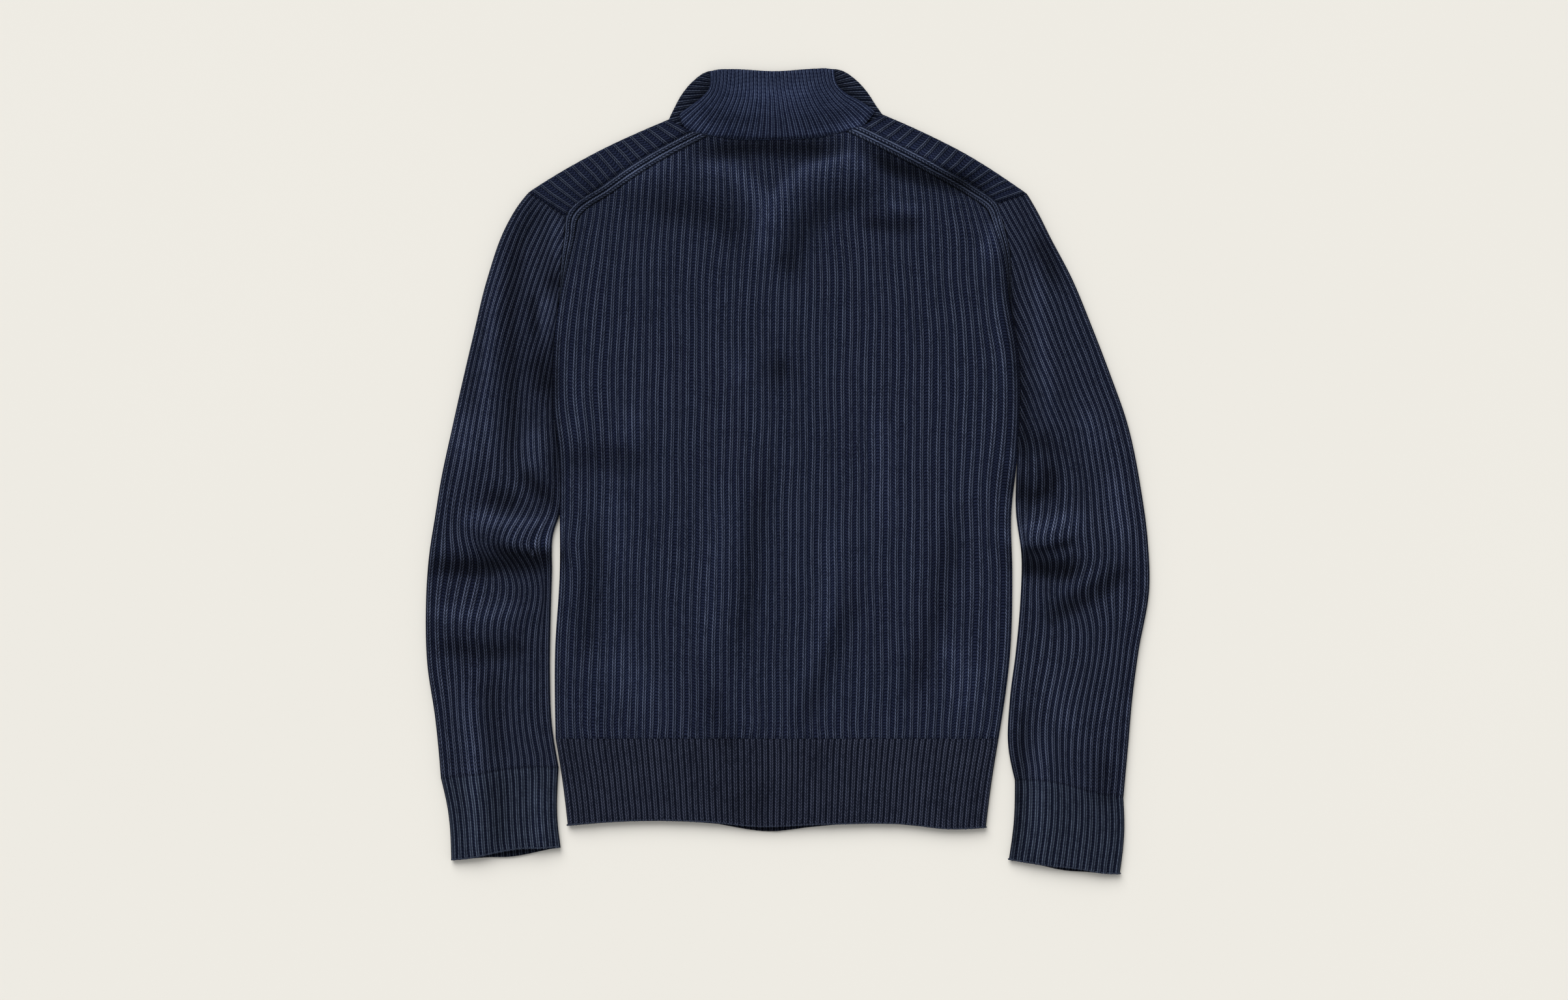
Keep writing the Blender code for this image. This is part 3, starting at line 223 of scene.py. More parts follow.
CREASES = tuple(Crease(*row) for row in (
    # Collar
    (((-88, 350), (-45, 341), (-8, 338), (35, 342), (68, 352)), 8.0, -1.6),
    (((-48, 370), (-8, 366), (26, 370)), 10.0, 1.4),
    # Back, under the collar and along the right shoulder
    (((-82, 314), (-50, 317), (-15, 318), (20, 317), (48, 314)), 9.5, -5.4),
    (((-88, 298), (-57, 296), (-38, 281), (-24, 262), (-20, 240), (-24, 216)), 9.5, 2.3),
    (((82, 306), (45, 300), (20, 290), (1, 275), (-12, 252), (-22, 222)), 10.5, 4.0),
    (((-140, 262), (-95, 256), (-66, 250), (-44, 228)), 16.0, -2.4),
    (((4, 204), (13, 240), (45, 262), (84, 270)), 13.0, -2.4),
    (((-10, 214), (8, 198)), 9.0, -1.8),
    (((60, 336), (108, 318), (156, 294)), 9.0, 2.8),
    (((78, 314), (106, 299), (142, 288), (186, 280)), 9.5, -6.4),
    (((96, 262), (130, 255)), 5.5, 1.8),
    (((74, 245), (98, 241), (128, 240)), 7.5, -3.0),
    (((-164, 286), (-112, 304)), 14.0, 1.6),
    (((-200, 268), (-176, 276)), 10.0, -1.2),
    # Back, soft bands down to the hem
    (((-16, 100), (0, 98)), 14.0, -3.0),
    (((-54, 110), (-44, 86)), 12.0, 1.2),
    (((-226, 10), (-180, 14), (-140, 8)), 14.0, -1.9),
    (((-188, -60), (-194, -120), (-198, -180)), 11.0, -1.9),
    (((-172, -20), (-160, -100)), 15.0, 1.1),
    (((-176, -176), (-130, -232)), 20.0, 1.2),
    (((-20, 5), (-34, -80), (-46, -182)), 11.0, -1.7),
    (((-62, -20), (-78, -170)), 15.0, 1.0),
    (((48, -50), (38, -150), (22, -205)), 11.0, 1.1),
    (((70, -120), (40, -190), (14, -252)), 11.0, -1.6),
    (((164, -50), (147, -140), (124, -218)), 13.0, -1.8),
    (((150, -170), (178, -200), (172, -240)), 15.0, 1.5),
    (((90, 60), (98, -60)), 14.0, 1.0),
    (((-150, 60), (-160, 20)), 14.0, 1.1),
    (((-78, -215), (-58, -276)), 13.0, -1.3),
    (((-56, -322), (-16, -330)), 24.0, -1.2),
    # Left armhole and sleeve
    (((-226, 244), (-223, 208)), 8.0, 2.6),
    (((-228, 192), (-229, 178)), 7.0, -2.0),
    (((-236, 168), (-235, 132)), 8.0, 3.2),
    (((-250, 170), (-246, 130)), 5.0, -2.4),
    (((-244, 112), (-236, 76)), 12.0, -3.4),
    (((-227, 130), (-229, 61), (-226, 30), (-228, -20)), 5.0, -2.2),
    (((-212, 100), (-204, 60), (-205, 30)), 6.0, 0.8),
    (((-286, 200), (-291, 130), (-296, 70), (-292, 15)), 8.0, 1.8),
    (((-250, 250), (-266, 218), (-272, 150), (-270, 79), (-268, 8)), 8.5, -2.4),
    (((-322, 56), (-314, 10)), 15.0, 2.4),
    (((-250, 40), (-247, 0)), 10.0, 2.2),
    (((-296, -24), (-264, -32)), 10.0, -3.0),
    (((-262, -4), (-246, -16), (-228, -30)), 8.0, -3.0),
    (((-312, -48), (-281, -55), (-254, -57), (-226, -54)), 8.5, 5.0),
    (((-276, -66), (-254, -70), (-228, -68)), 6.0, 2.6),
    (((-288, -76), (-258, -84), (-220, -83)), 4.6, -4.0),
    (((-352, -92), (-312, -94), (-276, -90), (-250, -90), (-226, -88)), 10.0, -5.6),
    (((-348, -138), (-308, -142), (-258, -138)), 11.0, 1.6),
    (((-342, -172), (-300, -178), (-258, -174)), 10.0, -3.0),
    (((-316, -215), (-308, -285)), 10.0, 1.6),
    (((-290, -200), (-284, -285)), 12.0, -1.4),
    (((-308, -280), (-306, -376)), 8.0, 1.6),
    (((-284, -296), (-282, -374)), 10.0, -1.3),
    (((-245, -310), (-243, -372)), 9.0, 1.6),
    # Right armhole and sleeve
    (((209, 250), (202, 228), (195, 204)), 8.5, 2.4),
    (((214, 208), (218, 175), (225, 118), (231, 79), (232, 28), (237, -8)), 5.0, -2.6),
    (((214, 204), (222, 120), (230, 40)), 13.0, -1.4),
    (((205, 176), (210, 118), (216, 70)), 6.0, 1.4),
    (((246, 200), (247, 150), (254, 90), (258, 52)), 8.0, 1.6),
    (((248, 230), (264, 184)), 10.0, -2.8),
    (((226, 32), (264, 24)), 12.0, -2.2),
    (((290, 60), (310, 20)), 14.0, 1.6),
    (((216, -8), (238, -24), (256, -16), (260, 8)), 10.5, -4.2),
    (((222, -62), (250, -63), (285, -50)), 10.5, 4.6),
    (((216, -78), (250, -79), (280, -70)), 4.6, -3.2),
    (((222, -90), (252, -94), (286, -98)), 10.5, -6.0),
    (((258, -144), (290, -126), (330, -100)), 9.0, -3.6),
    (((268, -118), (300, -98)), 8.0, 1.2),
    (((318, -5), (328, -70)), 14.0, 1.6),
    (((262, -200), (276, -260)), 14.0, 1.0),
    (((232, -238), (226, -300), (221, -380)), 7.5, -2.6),
    (((250, -262), (246, -372)), 10.0, 1.3),
    (((310, -280), (312, -330)), 10.0, -2.0),
))
PUSHES = tuple(Push(*row) for row in (
    ((-9, 250), (34, 52), (4.5, 0.0)),
    ((-62, 262), (30, 46), (3.0, 0.0)),
    ((48, 262), (30, 46), (-3.5, 0.0)),
    ((-262, -70), (46, 18), (-8.0, -3.0)),
    ((-285, -118), (46, 30), (13.0, 0.0)),
    ((-318, -86), (24, 26), (9.0, 0.0)),
    ((-262, -14), (22, 30), (5.0, 0.0)),
    ((-300, -185), (44, 40), (8.0, 0.0)),
    ((266, -12), (26, 32), (6.0, 0.0)),
    ((256, -66), (32, 18), (-8.0, -3.0)),
    ((290, -118), (34, 26), (-11.0, 0.0)),
    ((278, -190), (40, 50), (6.0, 0.0)),
    ((-246, 150), (24, 50), (3.5, 0.0)),
    ((210, 150), (18, 40), (-3.0, 0.0)),
))


class Side(Enum):
    """An edge of a piece of knit in plan."""

    LEFT = "left"
    RIGHT = "right"
    START = "start"
    END = "end"


def smooth(low: float, high: float, value: np.ndarray) -> np.ndarray:
    """Gives a soft step.

    Args:
        low: Where the step starts, at 0.
        high: Where it ends, at 1.
        value: The places to read it at.

    Returns:
        The step's height at each place.
    """
    share = np.clip((np.asarray(value, float) - low) / (high - low), 0.0, 1.0)
    return share * share * (3.0 - 2.0 * share)


def near_path(path: tuple[tuple[float, float], ...],
              places: np.ndarray) -> tuple[np.ndarray, np.ndarray]:
    """Measures how places lie by a line of straight runs.

    Args:
        path: The line's points.
        places: Points of the plan, with x and y last.

    Returns:
        Each place's distance from the line, and how far along it lies, from 0 to 1.
    """
    nearest, along = np.full(places.shape[:-1], np.inf), np.zeros(places.shape[:-1])
    total, done = sum(math.dist(a, b) for a, b in zip(path, path[1:])), 0.0
    for start, end in zip(path, path[1:]):
        origin, run = np.array(start, float), np.subtract(end, start).astype(float)
        share = np.clip((places - origin) @ run / (run @ run), 0.0, 1.0)
        away = places - origin - share[..., None] * run
        distance = np.hypot(away[..., 0], away[..., 1])
        closer = distance < nearest
        nearest = np.where(closer, distance, nearest)
        along = np.where(closer, (done + share * math.dist(start, end)) / total, along)
        done += math.dist(start, end)
    return nearest, along


def eased(place: np.ndarray, keys: np.ndarray, values: np.ndarray) -> np.ndarray:
    """Reads a smooth line through points, which never turns back between them.

    Args:
        place: Where to read it.
        keys: The points' places, rising.
        values: Their values.

    Returns:
        The values at each place.
    """
    keys, values = np.asarray(keys, float), np.asarray(values, float)
    gaps = np.diff(keys)
    slopes = np.diff(values) / gaps
    if len(slopes) == 1:
        return np.interp(place, keys, values)
    product, total = slopes[:-1] * slopes[1:], slopes[:-1] + slopes[1:]
    safe = np.where(np.abs(total) < 1e-9, 1.0, total)
    inner = np.where(product > 0, 2 * product / safe, 0.0)
    tangents = np.concatenate([slopes[:1], inner, slopes[-1:]])
    k = np.clip(np.searchsorted(keys, place, side="right") - 1, 0, len(gaps) - 1)
    t = np.clip((place - keys[k]) / gaps[k], 0.0, 1.0)
    start = (1 + 2 * t) * (1 - t) ** 2 * values[k] + t * (1 - t) ** 2 * gaps[k] * tangents[k]
    end = t**2 * (3 - 2 * t) * values[k + 1] + t**2 * (t - 1) * gaps[k] * tangents[k + 1]
    return start + end


@dataclass
class Edge:
    """A seam or an outline in plan: a smooth line through points, each at its share."""

    points: np.ndarray
    shares: np.ndarray | None = None

    def __post_init__(self) -> None:
        """Makes arrays, and shares the way out by length where no shares are given."""
        self.points = np.array(self.points, float)
        self.shares = self.chords() if self.shares is None else np.array(self.shares, float)

    def chords(self) -> np.ndarray:
        """Gives each point's share of the way by length."""
        runs = np.linalg.norm(np.diff(self.points, axis=0), axis=1)
        return np.concatenate([[0.0], np.cumsum(runs)]) / runs.sum()

    def at(self, share: np.ndarray) -> np.ndarray:
        """Reads points of the edge.

        Args:
            share: How far along each point lies, from 0 to 1.

        Returns:
            Their x and y, last in the array.
        """
        chords = self.chords()
        gaps = np.diff(chords)
        slopes = np.diff(self.points, axis=0) / gaps[:, None]
        leave, reach = np.vstack([slopes, slopes[-1:]]), np.vstack([slopes[:1], slopes])
        for i in range(1, len(slopes)):
            before, after = slopes[i - 1], slopes[i]
            cosine = before @ after / (np.linalg.norm(before) * np.linalg.norm(after))
            if cosine > CORNER:
                tangent = (gaps[i] * before + gaps[i - 1] * after) / (gaps[i - 1] + gaps[i])
                leave[i] = reach[i] = tangent
        if len(slopes) > 1:
            leave[0] = 1.5 * slopes[0] - 0.5 * reach[1]
            reach[-1] = 1.5 * slopes[-1] - 0.5 * leave[-2]
        way = eased(share, self.shares, chords)
        k = np.clip(np.searchsorted(chords, way, side="right") - 1, 0, len(gaps) - 1)
        t, gap = ((way - chords[k]) / gaps[k])[..., None], gaps[k][..., None]
        start = (1 + 2 * t) * (1 - t) ** 2 * self.points[k] + t * (1 - t) ** 2 * gap * leave[k]
        end = t**2 * (3 - 2 * t) * self.points[k + 1] + t**2 * (t - 1) * gap * reach[k + 1]
        return start + end

    def moved(self, distance: float) -> "Edge":
        """Moves the edge to the left of its own direction.

        Args:
            distance: How far, in millimetres.

        Returns:
            The moved edge.
        """
        runs = np.diff(self.points, axis=0)
        normals = np.stack([-runs[:, 1], runs[:, 0]], axis=1)
        normals /= np.linalg.norm(normals, axis=1)[:, None]
        before, after = np.vstack([normals[:1], normals]), np.vstack([normals, normals[-1:]])
        mitre = before + after
        mitre /= (mitre * after).sum(axis=1)[:, None]
        return Edge(self.points + mitre * distance, self.shares)


def side_distances(u: np.ndarray, v: np.ndarray, width: np.ndarray,
                   tall: np.ndarray) -> dict[Side, np.ndarray]:
    """Turns places into distances from each side.

    Args:
        u: Places across, from 0 to 1.
        v: Places along, from 0 to 1.
        width: How wide the piece is at each place.
        tall: How long it is there.

    Returns:
        The distances, by side.
    """
    return {
        Side.LEFT: u * width,
        Side.RIGHT: (1 - u) * width,
        Side.START: v * tall,
        Side.END: (1 - v) * tall,
    }


@dataclass
class Patch:
    """A piece of knit in plan between four edges: u runs across, v along its ribs."""

    start: Edge
    end: Edge
    left: Edge
    right: Edge
    hug: float = 1.0

    def place(self, u: np.ndarray, v: np.ndarray) -> np.ndarray:
        """Blends the four edges.

        Args:
            u: Places across.
            v: Places along.

        Returns:
            The x and y of each place, in millimetres.
        """
        u, v = np.broadcast_arrays(np.asarray(u, float), np.asarray(v, float))
        u1, v1 = u[..., None], v[..., None]
        first, last = self.start.at(np.array([0.0, 1.0])), self.end.at(np.array([0.0, 1.0]))
        left_bow = self.left.at(v) - ((1 - v1) * first[0] + v1 * last[0])
        right_bow = self.right.at(v) - ((1 - v1) * first[1] + v1 * last[1])
        along = (1 - v1) * self.start.at(u) + v1 * self.end.at(u)
        return along + (1 - u1) ** self.hug * left_bow + u1**self.hug * right_bow

    def margins(self, u: np.ndarray, v: np.ndarray) -> dict[Side, np.ndarray]:
        """Measures how far places lie from each side.

        Args:
            u: Places across.
            v: Places along.

        Returns:
            The distances in millimetres, by side.
        """
        u, v = np.broadcast_arrays(np.asarray(u, float), np.asarray(v, float))
        width = np.linalg.norm(self.right.at(v) - self.left.at(v), axis=-1)
        tall = np.linalg.norm(self.end.at(u) - self.start.at(u), axis=-1)
        return side_distances(u, v, width, tall)

    def run(self, u: np.ndarray, v: np.ndarray) -> np.ndarray:
        """Gives how far along the knitting a place is, in millimetres."""
        return self.margins(u, v)[Side.START]


@dataclass
class SleevePlan:
    """A sleeve in plan, whose slanted seam lets in each rib at a section of its own."""

    table: list[tuple[float, float, float, float, float]]
    seam_row: int
    wrist_line: list[tuple[float, float]]
    outer: Edge = field(init=False)
    inner: Edge = field(init=False)
    wrist: Edge = field(init=False)
    long: float = field(init=False)
    sections: np.ndarray = field(init=False)
    let_in: np.ndarray = field(init=False)
    seam_places: np.ndarray = field(init=False)
    seam_shares: np.ndarray = field(init=False)

    def __post_init__(self) -> None:
        """Sets the sections at their places down the sleeve."""
        table = np.array(self.table)
        outer, inner, shares = table[:, :2], table[:, 2:4], table[:, 4]
        steps = np.linalg.norm(np.diff((outer + inner) / 2, axis=0), axis=1)
        self.long = float(steps.sum())
        places = np.concatenate([[0.0], np.cumsum(steps)]) / steps.sum()
        self.outer, self.inner = Edge(outer, places), Edge(inner, places)
        self.wrist = Edge(self.wrist_line)
        seam = places[self.seam_row]
        self.sections = np.linspace(0.0, 1.0, 401)
        self.let_in = eased(self.sections, places, shares)
        rising = (self.sections <= seam + 1e-9) & (self.let_in < 0.9995)
        self.seam_places = np.append(self.sections[rising], seam)
        self.seam_shares = np.append(self.let_in[rising], 1.0)

    def section(self, u: np.ndarray, v: np.ndarray) -> np.ndarray:
        """Gives how far down the sleeve a point of a rib lies, from 0 to 1."""
        begin = np.interp(u, self.seam_shares, self.seam_places)
        return begin + (1 - begin) * v

    def pitch(self, section: np.ndarray) -> np.ndarray:
        """Gives the step across for a whole unit of u, at a section."""
        share = np.interp(section, self.sections, self.let_in)
        return (self.inner.at(section) - self.outer.at(section)) / share[..., None]

    def place(self, u: np.ndarray, v: np.ndarray) -> np.ndarray:
        """Sets out the ribs from the sleeve's outer fold, and bends them to the wrist.

        Args:
            u: Places across.
            v: Places along.

        Returns:
            The x and y of each place, in millimetres.
        """
        u1, v1 = np.asarray(u)[..., None], np.asarray(v)[..., None]
        section = self.section(u, v)
        ends = self.wrist.at(np.array([0.0, 1.0]))
        bend = v1**WRIST_HUG * (self.wrist.at(u) - ((1 - u1) * ends[0] + u1 * ends[1]))
        return self.outer.at(section) + u1 * self.pitch(section) + bend

    def margins(self, u: np.ndarray, v: np.ndarray) -> dict[Side, np.ndarray]:
        """Measures how far places lie from each side.

        Args:
            u: Places across.
            v: Places along.

        Returns:
            The distances in millimetres, by side.
        """
        pitch = np.linalg.norm(self.pitch(self.section(u, v)), axis=-1)
        along = self.long * (1 - np.interp(u, self.seam_shares, self.seam_places))
        return side_distances(u, v, pitch, along)

    def run(self, u: np.ndarray, v: np.ndarray) -> np.ndarray:
        """Gives how far along the knitting a place is, in millimetres, counted upwards."""
        return -self.section(u, v) * self.long


@dataclass(frozen=True)
class Drape:
    """How the upper layer lies over the lower one: its loft, creases and drawn ribs."""

    loft: float = 2.0
    wobble: float = 1.1
    calm: float = 16.0

    def zip_rise(self, places: np.ndarray) -> np.ndarray:
        """Gives how far the zip under the cloth lifts it.

        Args:
            places: Points of the plan.

        Returns:
            The rise at each, in millimetres.
        """
        x, y = places[..., 0], places[..., 1]
        beside = 1.0 - smooth(*ZIP_BESIDE, np.abs(x - CENTRE_X))
        return beside * sum(
            rise * smooth(*foot, y) * (1.0 - smooth(*top, y)) for rise, foot, top in ZIP_RISES
        )

    def creased(self, places: np.ndarray) -> np.ndarray:
        """Gives how far the creases lift the cloth.

        Args:
            places: Points of the plan.

        Returns:
            The lift at each, in millimetres.
        """
        total = np.zeros(places.shape[:-1])
        for crease in CREASES:
            away, along = near_path(crease.path, places)
            ends = smooth(*CREASE_ENDS, along) * smooth(*CREASE_ENDS, 1.0 - along)
            ridge = np.exp(-((away / crease.half_width) ** 2))
            total += CREASE_GAIN * crease.lift * ends * ridge
        return total

    def ceiling(self, places: np.ndarray, fade: np.ndarray, loft: np.ndarray) -> np.ndarray:
        """Gives the underside of the upper layer.

        Args:
            places: Points of the plan.
            fade: How much of the loft each has, from 0 at a folded edge to 1.
            loft: The loft at each, before creases.

        Returns:
            The height of each, in millimetres.
        """
        total = loft + self.creased(places)
        soft = np.where(total < 1.0, np.exp(np.minimum(total, 1.0) - 1.0), total)
        return LOWER_WALL + np.maximum(soft * fade, self.zip_rise(places))

    def drawn(self, places: np.ndarray, calm: np.ndarray) -> np.ndarray:
        """Moves places where the ribs wander or are drawn aside.

        Args:
            places: Points of the plan.
            calm: How free each is to move, from 0 at a seam to 1.

        Returns:
            The moved points.
        """
        x, y = places[..., 0], places[..., 1]
        shift = np.zeros_like(places)
        for push in PUSHES:
            away = [(part - middle) / reach
                    for part, middle, reach in zip((x, y), push.centre, push.reach)]
            shift += np.exp(-away[0] ** 2 - away[1] ** 2)[..., None] * np.array(push.shift)
        wave = sum(
            weight * np.sin(y / along + x / across + phase)
            for weight, along, across, phase in WAVES
        )
        shift[..., 0] += self.wobble * 0.5 * wave
        return places + calm[..., None] * shift


@dataclass
class Shell:
    """The points and faces of a piece, with each point's place in the knitting."""

    points: list = field(default_factory=list)
    coords: list = field(default_factory=list)
    leans: list = field(default_factory=list)
    faces: list = field(default_factory=list)
    count: int = 0

    def grid(self, places: np.ndarray, coords: np.ndarray, leans: np.ndarray) -> np.ndarray:
        """Adds a grid of points.

        Args:
            places: Rows of points, in millimetres.
            coords: Each point's rib, its course and its steps of painted light and shade.
            leans: Which way, and how much, its rib is raised.

        Returns:
            The grid of the points' numbers.
        """
        rows, columns = places.shape[:2]
        self.points.append(places.reshape(-1, 3))
        self.coords.append(coords.reshape(-1, 3))
        self.leans.append(leans.reshape(-1, 3))
        numbers = np.arange(self.count, self.count + rows * columns).reshape(rows, columns)
        self.count += rows * columns
        return numbers

    def skin(self, numbers: np.ndarray) -> None:
        """Fills a grid of points with faces.

        Args:
            numbers: The points' numbers.
        """
        a, b = numbers[:-1, :-1].ravel(), numbers[:-1, 1:].ravel()
        c, d = numbers[1:, 1:].ravel(), numbers[1:, :-1].ravel()
        self.faces.extend(np.stack([a, b, c, d], axis=1).tolist())

    def bridge(self, near: np.ndarray, near_keys: np.ndarray, far: np.ndarray,
               far_keys: np.ndarray) -> None:
        """Fills the strip between two rows of points, stepping along the row that lags.

        Args:
            near: Point numbers of one row.
            near_keys: Their places along it.
            far: Point numbers of the other row.
            far_keys: Their places along it.
        """
        i = j = 0
        while i < len(near) - 1 or j < len(far) - 1:
            near_left, far_left = i < len(near) - 1, j < len(far) - 1
            if near_left and (not far_left or near_keys[i + 1] <= far_keys[j + 1]):
                self.faces.append((int(near[i]), int(near[i + 1]), int(far[j])))
                i += 1
            else:
                self.faces.append((int(near[i]), int(far[j + 1]), int(far[j])))
                j += 1

    def piece(self, name: str) -> bpy.types.Object:
        """Makes the mesh object, with its UV map, the attributes that raise its ribs and the one
        that carries its painted light and shade.

        Args:
            name: The piece's name.

        Returns:
            The object, at the origin.
        """
        points = np.concatenate(self.points) * MM
        coords, leans = np.concatenate(self.coords), np.concatenate(self.leans) * MM
        mesh = bpy.data.meshes.new(name)
        mesh.from_pydata(points.tolist(), [], self.faces)
        body = bmesh.new()
        body.from_mesh(mesh)
        bmesh.ops.recalc_face_normals(body, faces=body.faces)
        body.to_mesh(mesh)
        body.free()
        corners = np.empty(len(mesh.loops), np.int32)
        mesh.loops.foreach_get("vertex_index", corners)
        layer = mesh.uv_layers.new(name=KNIT_MAP)
        layer.data.foreach_set("uv", coords[corners, :2].astype(np.float32).ravel())
        for label, kind, key, values in (
            ("wale", "FLOAT", "value", coords[:, 0]),
            ("worn", "FLOAT", "value", coords[:, 2]),
            ("lean", "FLOAT_VECTOR", "vector", leans),
        ):
            layer = mesh.attributes.new(label, kind, "POINT")
            layer.data.foreach_set(key, values.astype(np.float32).ravel())
        return linked(name, mesh)


@dataclass
class Wiring:
    """A node tree under construction, with short ways to add the nodes it needs."""

    tree: bpy.types.NodeTree

    def join(self, value: object, socket: bpy.types.NodeSocket) -> None:
        """Links a socket to another, or sets it to a plain value.

        Args:
            value: The other socket, or the value.
            socket: The input to fill.
        """
        if isinstance(value, bpy.types.NodeSocket):
            self.tree.links.new(value, socket)
        else:
            socket.default_value = value

    def add(self, kind: str, inputs: dict | None = None, **values: object) -> bpy.types.Node:
        """Adds a node.

        Args:
            kind: The node's type.
            inputs: What its inputs are joined to, by name or number.
            **values: Properties of it to set.

        Returns:
            The node.
        """
        node = self.tree.nodes.new(kind)
        for key, value in values.items():
            setattr(node, key, value)
        for key, value in (inputs or {}).items():
            self.join(value, node.inputs[key])
        return node

    def math(self, operation: str, a: object, b: object = 0.0,
             c: object = 0.0) -> bpy.types.NodeSocket:
        """Adds a sum of up to three values and gives its result."""
        return self.add("ShaderNodeMath", {0: a, 1: b, 2: c}, operation=operation).outputs[0]

    def step(self, value: object, low: object, high: object) -> bpy.types.NodeSocket:
        """Adds a soft step.

        Args:
            value: What it reads.
            low: Where it starts, at 0.
            high: Where it ends, at 1.

        Returns:
            Its result.
        """
        inputs = {"Value": value, "From Min": low, "From Max": high}
        node = self.add("ShaderNodeMapRange", inputs, interpolation_type="SMOOTHSTEP")
        return node.outputs["Result"]

    def vector(self, operation: str, inputs: dict) -> bpy.types.NodeSocket:
        """Adds a sum of vectors and gives its result."""
        return self.add("ShaderNodeVectorMath", inputs, operation=operation).outputs[0]

    def xyz(self, x: object = 0.0, y: object = 0.0, z: object = 0.0) -> bpy.types.NodeSocket:
        """Adds a vector made of its parts."""
        return self.add("ShaderNodeCombineXYZ", {0: x, 1: y, 2: z}).outputs[0]

    def noise(self, place: object, scale: float, detail: float) -> bpy.types.NodeSocket:
        """Adds a noise texture and gives its value."""
        inputs = {"Vector": place, "Scale": scale, "Detail": detail}
        return self.add("ShaderNodeTexNoise", inputs).outputs[0]

    def blend(self, share: object, first: object, second: object) -> bpy.types.NodeSocket:
        """Adds a mix of two colours and gives its result."""
        node = self.add("ShaderNodeMix", {0: share, 6: first, 7: second}, data_type="RGBA")
        return node.outputs[2]

    def own_place(self) -> bpy.types.NodeSocket:
        """Adds the place on the object, in its own coordinates."""
        return self.add("ShaderNodeTexCoord").outputs["Object"]

    def emboss(self, shader: bpy.types.Node, height: object, depth: float) -> None:
        """Gives a shader relief of a depth in millimetres."""
        bump = self.add("ShaderNodeBump", {"Distance": depth * MM, "Height": height})
        self.join(bump.outputs[0], shader.inputs["Normal"])

    def hand_over(self, geometry: object, material: object) -> bpy.types.NodeTree:
        """Ends a Geometry Nodes tree.

        Args:
            geometry: What it has made.
            material: The material to set on all of it.

        Returns:
            The tree.
        """
        whole = self.add("GeometryNodeRealizeInstances", {0: geometry})
        dressed = self.add(
            "GeometryNodeSetMaterial", {"Geometry": whole.outputs[0], "Material": material}
        )
        self.add("NodeGroupOutput", {0: dressed.outputs[0]})
        return self.tree


def linked(name: str, data: bpy.types.ID) -> bpy.types.Object:
    """Makes an object and links it to the scene.

    Args:
        name: Its name.
        data: Its mesh, light or camera.

    Returns:
        The object, at the origin.
    """
    made = bpy.data.objects.new(name, data)
    bpy.context.scene.collection.objects.link(made)
    return made


def as_mesh(name: str, body: bmesh.types.BMesh) -> bpy.types.Mesh:
    """Turns faces under construction into a mesh, and frees them.

    Args:
        name: The mesh's name.
        body: The faces.

    Returns:
        The mesh.
    """
    mesh = bpy.data.meshes.new(name)
    body.to_mesh(mesh)
    body.free()
    return mesh


def start_finish(name: str,
                 roughness: float) -> tuple[bpy.types.Material, Wiring, bpy.types.Node]:
    """Starts a material.

    Args:
        name: Its name.
        roughness: Its roughness, where nothing else is joined to it.

    Returns:
        The material, its wiring and its shader.
    """
    finish = bpy.data.materials.new(name)
    finish.use_nodes = True
    shader = finish.node_tree.nodes["Principled BSDF"]
    shader.inputs["Roughness"].default_value = roughness
    return finish, Wiring(finish.node_tree), shader


def start_tree(name: str, inputs: dict[str, str]) -> tuple[Wiring, bpy.types.Node]:
    """Starts a Geometry Nodes tree, whose first input is its geometry and last its material.

    Args:
        name: Its name.
        inputs: The names of its other inputs, with the kind of each.

    Returns:
        Its wiring, and the node that gives its inputs.
    """
    tree = bpy.data.node_groups.new(name, "GeometryNodeTree")
    for label, kind in {"Geometry": "Geometry", **inputs, "Material": "Material"}.items():
        tree.interface.new_socket(label, in_out="INPUT", socket_type="NodeSocket" + kind)
    tree.interface.new_socket("Geometry", in_out="OUTPUT", socket_type="NodeSocketGeometry")
    wiring = Wiring(tree)
    return wiring, wiring.add("NodeGroupInput")


def keep_result(piece: bpy.types.Object, modifier: bpy.types.Modifier) -> None:
    """Makes a modifier's result the piece's plain mesh.

    Args:
        piece: The object to change.
        modifier: Its modifier, which is removed.
    """
    graph = bpy.context.evaluated_depsgraph_get()
    mesh = bpy.data.meshes.new_from_object(piece.evaluated_get(graph))
    piece.modifiers.remove(modifier)
    old, piece.data = piece.data, mesh
    bpy.data.meshes.remove(old)
    mesh.name = piece.name


def apply_tree(piece: bpy.types.Object, tree: bpy.types.NodeTree, **inputs: object) -> None:
    """Runs a Geometry Nodes tree on a piece and keeps its result as a plain mesh.

    Args:
        piece: The object to change.
        tree: The tree.
        **inputs: The tree's inputs, with _ for each space in a name.
    """
    modifier = piece.modifiers.new("tree", "NODES")
    modifier.node_group = tree
    for item in tree.interface.items_tree:
        if item.in_out == "INPUT" and item.name.replace(" ", "_") in inputs:
            modifier[item.identifier] = inputs[item.name.replace(" ", "_")]
    keep_result(piece, modifier)
    mesh = piece.data
    for name in ("wale", "lean"):
        if name in mesh.attributes:
            mesh.attributes.remove(mesh.attributes[name])
    mesh.shade_smooth()
    mesh.set_sharp_from_angle(angle=SMOOTH_ANGLE)


